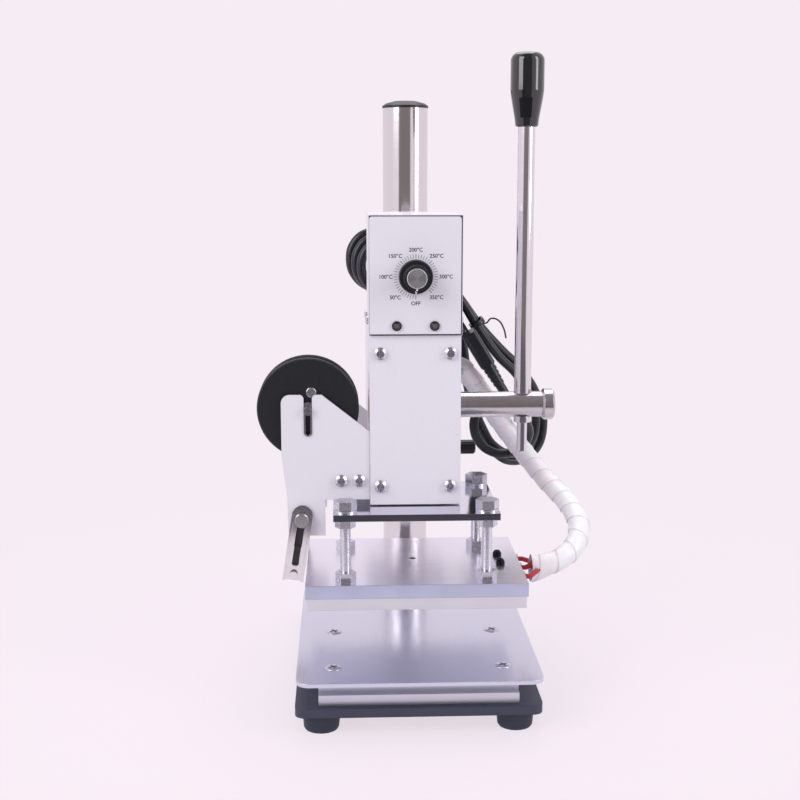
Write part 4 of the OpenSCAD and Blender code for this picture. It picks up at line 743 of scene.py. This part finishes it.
# Terminal screws: blackened, with a dull gleam.
black_oxide = metal("black_oxide_steel", "1C1C21", "2B2B31", 0.5, EVEN, 0.002, 0.2, (0.35, 0.5))
dress(ground_steel, "pinion_shaft", "shaft_end_cap", "ram_rack", "axle_saddles", "reel_axle", "guide_screws")
dress(table_steel, "work_table")
dress(plate_steel, "press_plate")
dress(gear_steel, "pinion_gear", "shaft_collar", "return_spring")
dress(tinted_steel, "heater_cartridges")
dress(black_oxide, "terminal_screws")
print("steel on")

# %% [markdown]
# ### Aluminium, zinc and bronze
# The heated plates are milled aluminium, so their grain runs across in the cutter's path. The riser is
# anodised, the knob's cap is spun, the hardware is zinc plated and the bushes are sintered bronze. The same
# grain serves. Only the cap needs more: its turning marks stretch each highlight, which a tangent round its
# axis gives.

# %% Aluminium
# The heated block: pale with satin streaks, and painted shade on its front and back faces.
milled_aluminium = metal("milled_aluminium", "EBEAF5", "F3F2FA", 0.35, ACROSS, 0.0006, 0.3, (0.2, 0.28))
painted_shade_on_sides(milled_aluminium, "C4CBE2")
# The die plate: rough enough to look nearly white.
bright_aluminium = metal("bright_aluminium", "EDECF4", "F6F5FA", 0.35, ACROSS, 0.0006, 0.3, (0.42, 0.54))
# The riser: an even satin that shows its grooves as soft bands.
anodised = metal("satin_anodised_aluminium", "D6D8E3", "E0E2EB", 0.3, (60, 1, 1), 0.001, 0.3, (0.36, 0.46))
# The cap: a bow tie of light that stays put when the knob turns.
spun_aluminium = metal(
    "spun_aluminium", "C9CAD2", "D6D7DE", 0.3, EVEN, 0.0004, 0.2, (0.26, 0.34), Anisotropic=0.8
)
spun_tree = spun_aluminium.node_tree
radial = add(spun_tree, "ShaderNodeTangent", direction_type="RADIAL", axis="Y").outputs["Tangent"]
spun_tree.links.new(radial, spun_tree.nodes["Principled BSDF"].inputs["Tangent"])
dress(milled_aluminium, "heater_block")
dress(bright_aluminium, "die_plate")
dress(anodised, "table_riser")
dress(spun_aluminium, "knob_cap")
print("aluminium on")

# %% Zinc and bronze
# Screws, nuts and bolts: a cool bright plate with small soft glints.
zinc = metal("zinc_plate", "CCCCD6", "DADAE3", 0.8, EVEN, 0.0005, 0.25, (0.2, 0.3))
# Bushes: a warm brown that its pores keep matt.
bronze = metal("sintered_bronze", "A87E46", "C2965A", 0.4, EVEN, 0.004, 0.2, (0.4, 0.55))
dress(zinc, "foot_screws", "table_screws", "column_bolt", "head_screws", "box_screws", "thermostat_spindle")
dress(zinc, "ram_screw", "levelling_bolts", "plate_washers", "levelling_nuts", "die_screws")
coat(zinc, bolt_threads, reel_screw, table_domes)
dress(bronze, "ram_bush", "shaft_bushes")
print("zinc and bronze on")

# %% [markdown]
# ### Plastics and rubber
# The lever's grip is glossy phenolic, the knob and reel are moulded in satin black, the feet are rubber and
# the cord is smooth PVC. The spiral wrap is milky polyethylene, so a little light passes through it. Black
# plastics differ mostly in gloss, so each keeps its own roughness.

# %% Black plastics and rubber
# The grip: a deep lacquer-like black with one sharp highlight.
grip_gloss = grained(
    "glossy_phenolic", "0C0E12", "121419", 3.0, EVEN, 0.003, 0.3, (0.05, 0.1), IOR=1.6, Coat_Weight=0.6
)
# Knob, column cap and clamp: a fine mould texture with a satin sheen.
knob_plastic = grained(
    "moulded_black_plastic", "191A1E", "232429", 0.7, EVEN, 0.006, 0.25, (0.3, 0.42), IOR=1.49
)
# The reel: more matt, so its faces look flat and dark.
reel_plastic = grained("satin_black_abs", "0F1018", "161720", 0.8, EVEN, 0.008, 0.4, (0.4, 0.52), IOR=1.53)
# Feet: dull, with a bluish bloom.
foot_rubber = grained("moulded_rubber", "202535", "2A2F41", 0.9, EVEN, 0.02, 0.5, (0.55, 0.72), IOR=1.52)
# The cord: smooth enough for a thin line of light along each turn.
cord_pvc = grained("smooth_pvc", "14171F", "1C202A", 2.0, EVEN, 0.01, 0.4, (0.26, 0.36), IOR=1.53)
# The tie: a thin coat over wire, a shade paler than the cord.
tie_pvc = grained("coated_wire", "1E1E23", "2A2A30", 1.0, EVEN, 0.01, 0.3, (0.3, 0.4), IOR=1.5)
dress(grip_gloss, "lever_grip")
dress(knob_plastic, "knob_skirt", "column_cap", "clamp_screw")
coat(knob_plastic, knob_ribs)
dress(reel_plastic, "reel_flange_front", "reel_flange_rear")
dress(foot_rubber, "rubber_feet")
dress(cord_pvc, "cord_gland", "mains_plug")
coat(cord_pvc, mains_lead)
dress(tie_pvc, "cord_tie")
coat(tie_pvc, tie_wire)
print("black plastics on")

# %% Other plastics, ink and paint
# Lamps: a dark bezel that shines and a paler lens in it.
lamp_bezel = grained("smoked_acrylic", "241B20", "32262C", 1.5, EVEN, 0.003, 0.2, (0.1, 0.2), IOR=1.49)
pale_lens = grained("tinted_acrylic", "574C4E", "6A5E60", 1.0, EVEN, 0.002, 0.1, (0.12, 0.22), IOR=1.49)
# The thermostat's body: a buff, matt moulding.
thermostat_plastic = grained(
    "moulded_phenolic", "B3A88C", "C6BCA2", 0.8, EVEN, 0.01, 0.3, (0.45, 0.6), IOR=1.55
)
# Leads: a soft red rubber.
lead_silicone = grained("red_silicone", "A81F29", "BE2B34", 1.0, EVEN, 0.008, 0.2, (0.35, 0.5), IOR=1.41)
# Print, and painted shade in the panel's gap, the guide slot and the screw crosses: a flat black without
# gloss.
ink_and_shade = grained("black_ink_and_painted_shade", "26242A", "322F36", 0.5, EVEN, 0.001, 0.02, (0.5, 0.6), IOR=1.5)
# The knob's line: a brushed-in white.
paint_line = grained("white_paint", "ECE8EE", "F4F1F6", 0.5, EVEN, 0.002, 0.05, (0.4, 0.5), IOR=1.5)
# The wrap: light goes a few millimetres in, so its shadows stay pale.
wrap_plastic = grained(
    "milky_polyethylene", "F3EEF3", "FAF7FA", 4.0, EVEN, 0.02, 0.1, (0.26, 0.36), IOR=1.51,
    Subsurface_Weight=0.4, Subsurface_Scale=0.005,
)
dress(lamp_bezel, "indicator_lamps")
coat(pale_lens, lamp_lenses)
dress(thermostat_plastic, "thermostat")
coat(lead_silicone, *heater_leads)
# Real print on the dial; painted shade on the panel's edge, the slot strips and the screw crosses.
coat(ink_and_shade, dial_print, panel_edge, slot_shade_strip, arm_slot_shade_strip, table_cross_shade)
coat(paint_line, knob_pointer)
dress(wrap_plastic, "cable_socket")
coat(wrap_plastic, heater_wrap)
print("plastics on")

# %% [markdown]
# ## Floor
# The photograph has a pale, even backdrop. A wide floor would show a horizon, so a disc keeps the machine's
# soft shadow near the feet and fades out into the backdrop.

# %% Floor disc
BACKDROP = srgb("F6ECF4")
FLOOR_R, FADE_FROM, FADE_TO, FADE_LEAST = 1.2, 0.1, 0.5, 0.78
disc = bmesh.new()
bmesh.ops.create_circle(disc, cap_ends=True, segments=96, radius=FLOOR_R)
floor = link_mesh("floor", disc)
floor_finish = bpy.data.materials.new("pale_floor")
floor_finish.use_nodes = True
tree = floor_finish.node_tree
tree.nodes.clear()
place = add(tree, "ShaderNodeTexCoord").outputs["Object"]
reach = add(tree, "ShaderNodeVectorMath", {0: place}, operation="LENGTH").outputs["Value"]
fading = {"Value": reach, "From Min": FADE_FROM, "From Max": FADE_TO, "To Min": FADE_LEAST}
fade = add(tree, "ShaderNodeMapRange", fading, interpolation_type="SMOOTHSTEP").outputs["Result"]
matt = add(tree, "ShaderNodeBsdfDiffuse", {"Color": BACKDROP}).outputs[0]
clear = add(tree, "ShaderNodeBsdfTransparent").outputs[0]
faded = add(tree, "ShaderNodeMixShader", {0: fade, 1: matt, 2: clear}).outputs[0]
add(tree, "ShaderNodeOutputMaterial", {"Surface": faded})
coat(floor_finish, floor)
print("floor", FLOOR_R, "m")

# %% [markdown]
# ## Card
# Chrome shows the room. A card lies in front of the machine, stands up behind the camera and reaches over
# it. It puts the grey middle into the round chrome, as a dim room does, so it shows in mirror rays alone
# and has an even tone of its own in each of its three parts.

# %% Reflected card
CARD_X, CARD_LINE = (-1.2, 0.75), ((-0.42, 0.002), (-1.6, 0.002), (-1.6, 2.2), (-0.1, 2.2))
CARD_TONES = {"dark_floor_card": "5A565C", "grey_wall_card": "827A79", "grey_roof_card": "8A8282"}
sheet = bmesh.new()
for part, ((y0, z0), (y1, z1)) in enumerate(zip(CARD_LINE, CARD_LINE[1:])):
    corners = [(x, y, z) for y, z in ((y0, z0), (y1, z1)) for x in CARD_X]
    face = sheet.faces.new([sheet.verts.new(corners[k]) for k in (0, 1, 3, 2)])
    face.material_index = part
card = link_mesh("card", sheet)
for name, tone in CARD_TONES.items():
    card_finish, _, shader = start_finish(name, Base_Color=srgb("000000"), Roughness=0.9)
    shader.inputs["Emission Color"].default_value = srgb(tone)
    shader.inputs["Emission Strength"].default_value = 1.0
    coat(card_finish, card)
card.visible_camera = card.visible_diffuse = card.visible_shadow = False
print("card in", len(CARD_TONES), "parts")

# %% [markdown]
# ## Light
# Two large soft lamps stand at the sides and one hangs above and behind. The rest is the room's own light.
# Small lamps would make hard glints, but wide ones leave the broad pale bands that the photograph has. The
# backdrop's colour shows to the camera and in mirrors, and a slightly cooler, weaker tone lights the matt
# surfaces.

# %% Lamps
LAMPS = {
    "left_softbox": ((-1.0, -0.8, 0.9), (0.8, 1.0), 8.6),
    "right_softbox": ((1.1, -0.6, 0.7), (0.36, 1.0), 5.0),
    "overhead": ((0.0, 0.55, 1.5), (1.0, 1.0), 7.0),
}
LAMP_AIM = Vector((0, 0, 0.18))
for name, (where, size, power) in LAMPS.items():
    lamp_data = bpy.data.lights.new(name, "AREA")
    lamp_data.shape = "RECTANGLE"
    lamp_data.size, lamp_data.size_y = size
    lamp_data.energy = power
    lamp = bpy.data.objects.new(name, lamp_data)
    lamp.location = where
    lamp.rotation_euler = (LAMP_AIM - Vector(where)).to_track_quat("-Z", "Y").to_euler()
    bpy.context.collection.objects.link(lamp)
print("lamps", len(LAMPS))

# %% Surroundings
ROOM_TONE, ROOM_STRENGTH = srgb("F8F6FD"), 0.7
world = bpy.data.worlds.new("studio")
bpy.context.scene.world = world
world.use_nodes = True
tree = world.node_tree
tree.nodes.clear()
rays = add(tree, "ShaderNodeLightPath").outputs
shown = rays["Is Camera Ray"]
for kind in ("Is Glossy Ray", "Is Transmission Ray"):
    shown = add(tree, "ShaderNodeMath", {0: shown, 1: rays[kind]}, operation="MAXIMUM").outputs[0]
pale = add(tree, "ShaderNodeBackground", {"Color": BACKDROP, "Strength": 1.0}).outputs[0]
soft = add(tree, "ShaderNodeBackground", {"Color": ROOM_TONE, "Strength": ROOM_STRENGTH}).outputs[0]
both = add(tree, "ShaderNodeMixShader", {0: shown, 1: soft, 2: pale}).outputs[0]
add(tree, "ShaderNodeOutputWorld", {"Surface": both})
bpy.context.scene.view_settings.view_transform = "Standard"
print("room light", ROOM_STRENGTH)
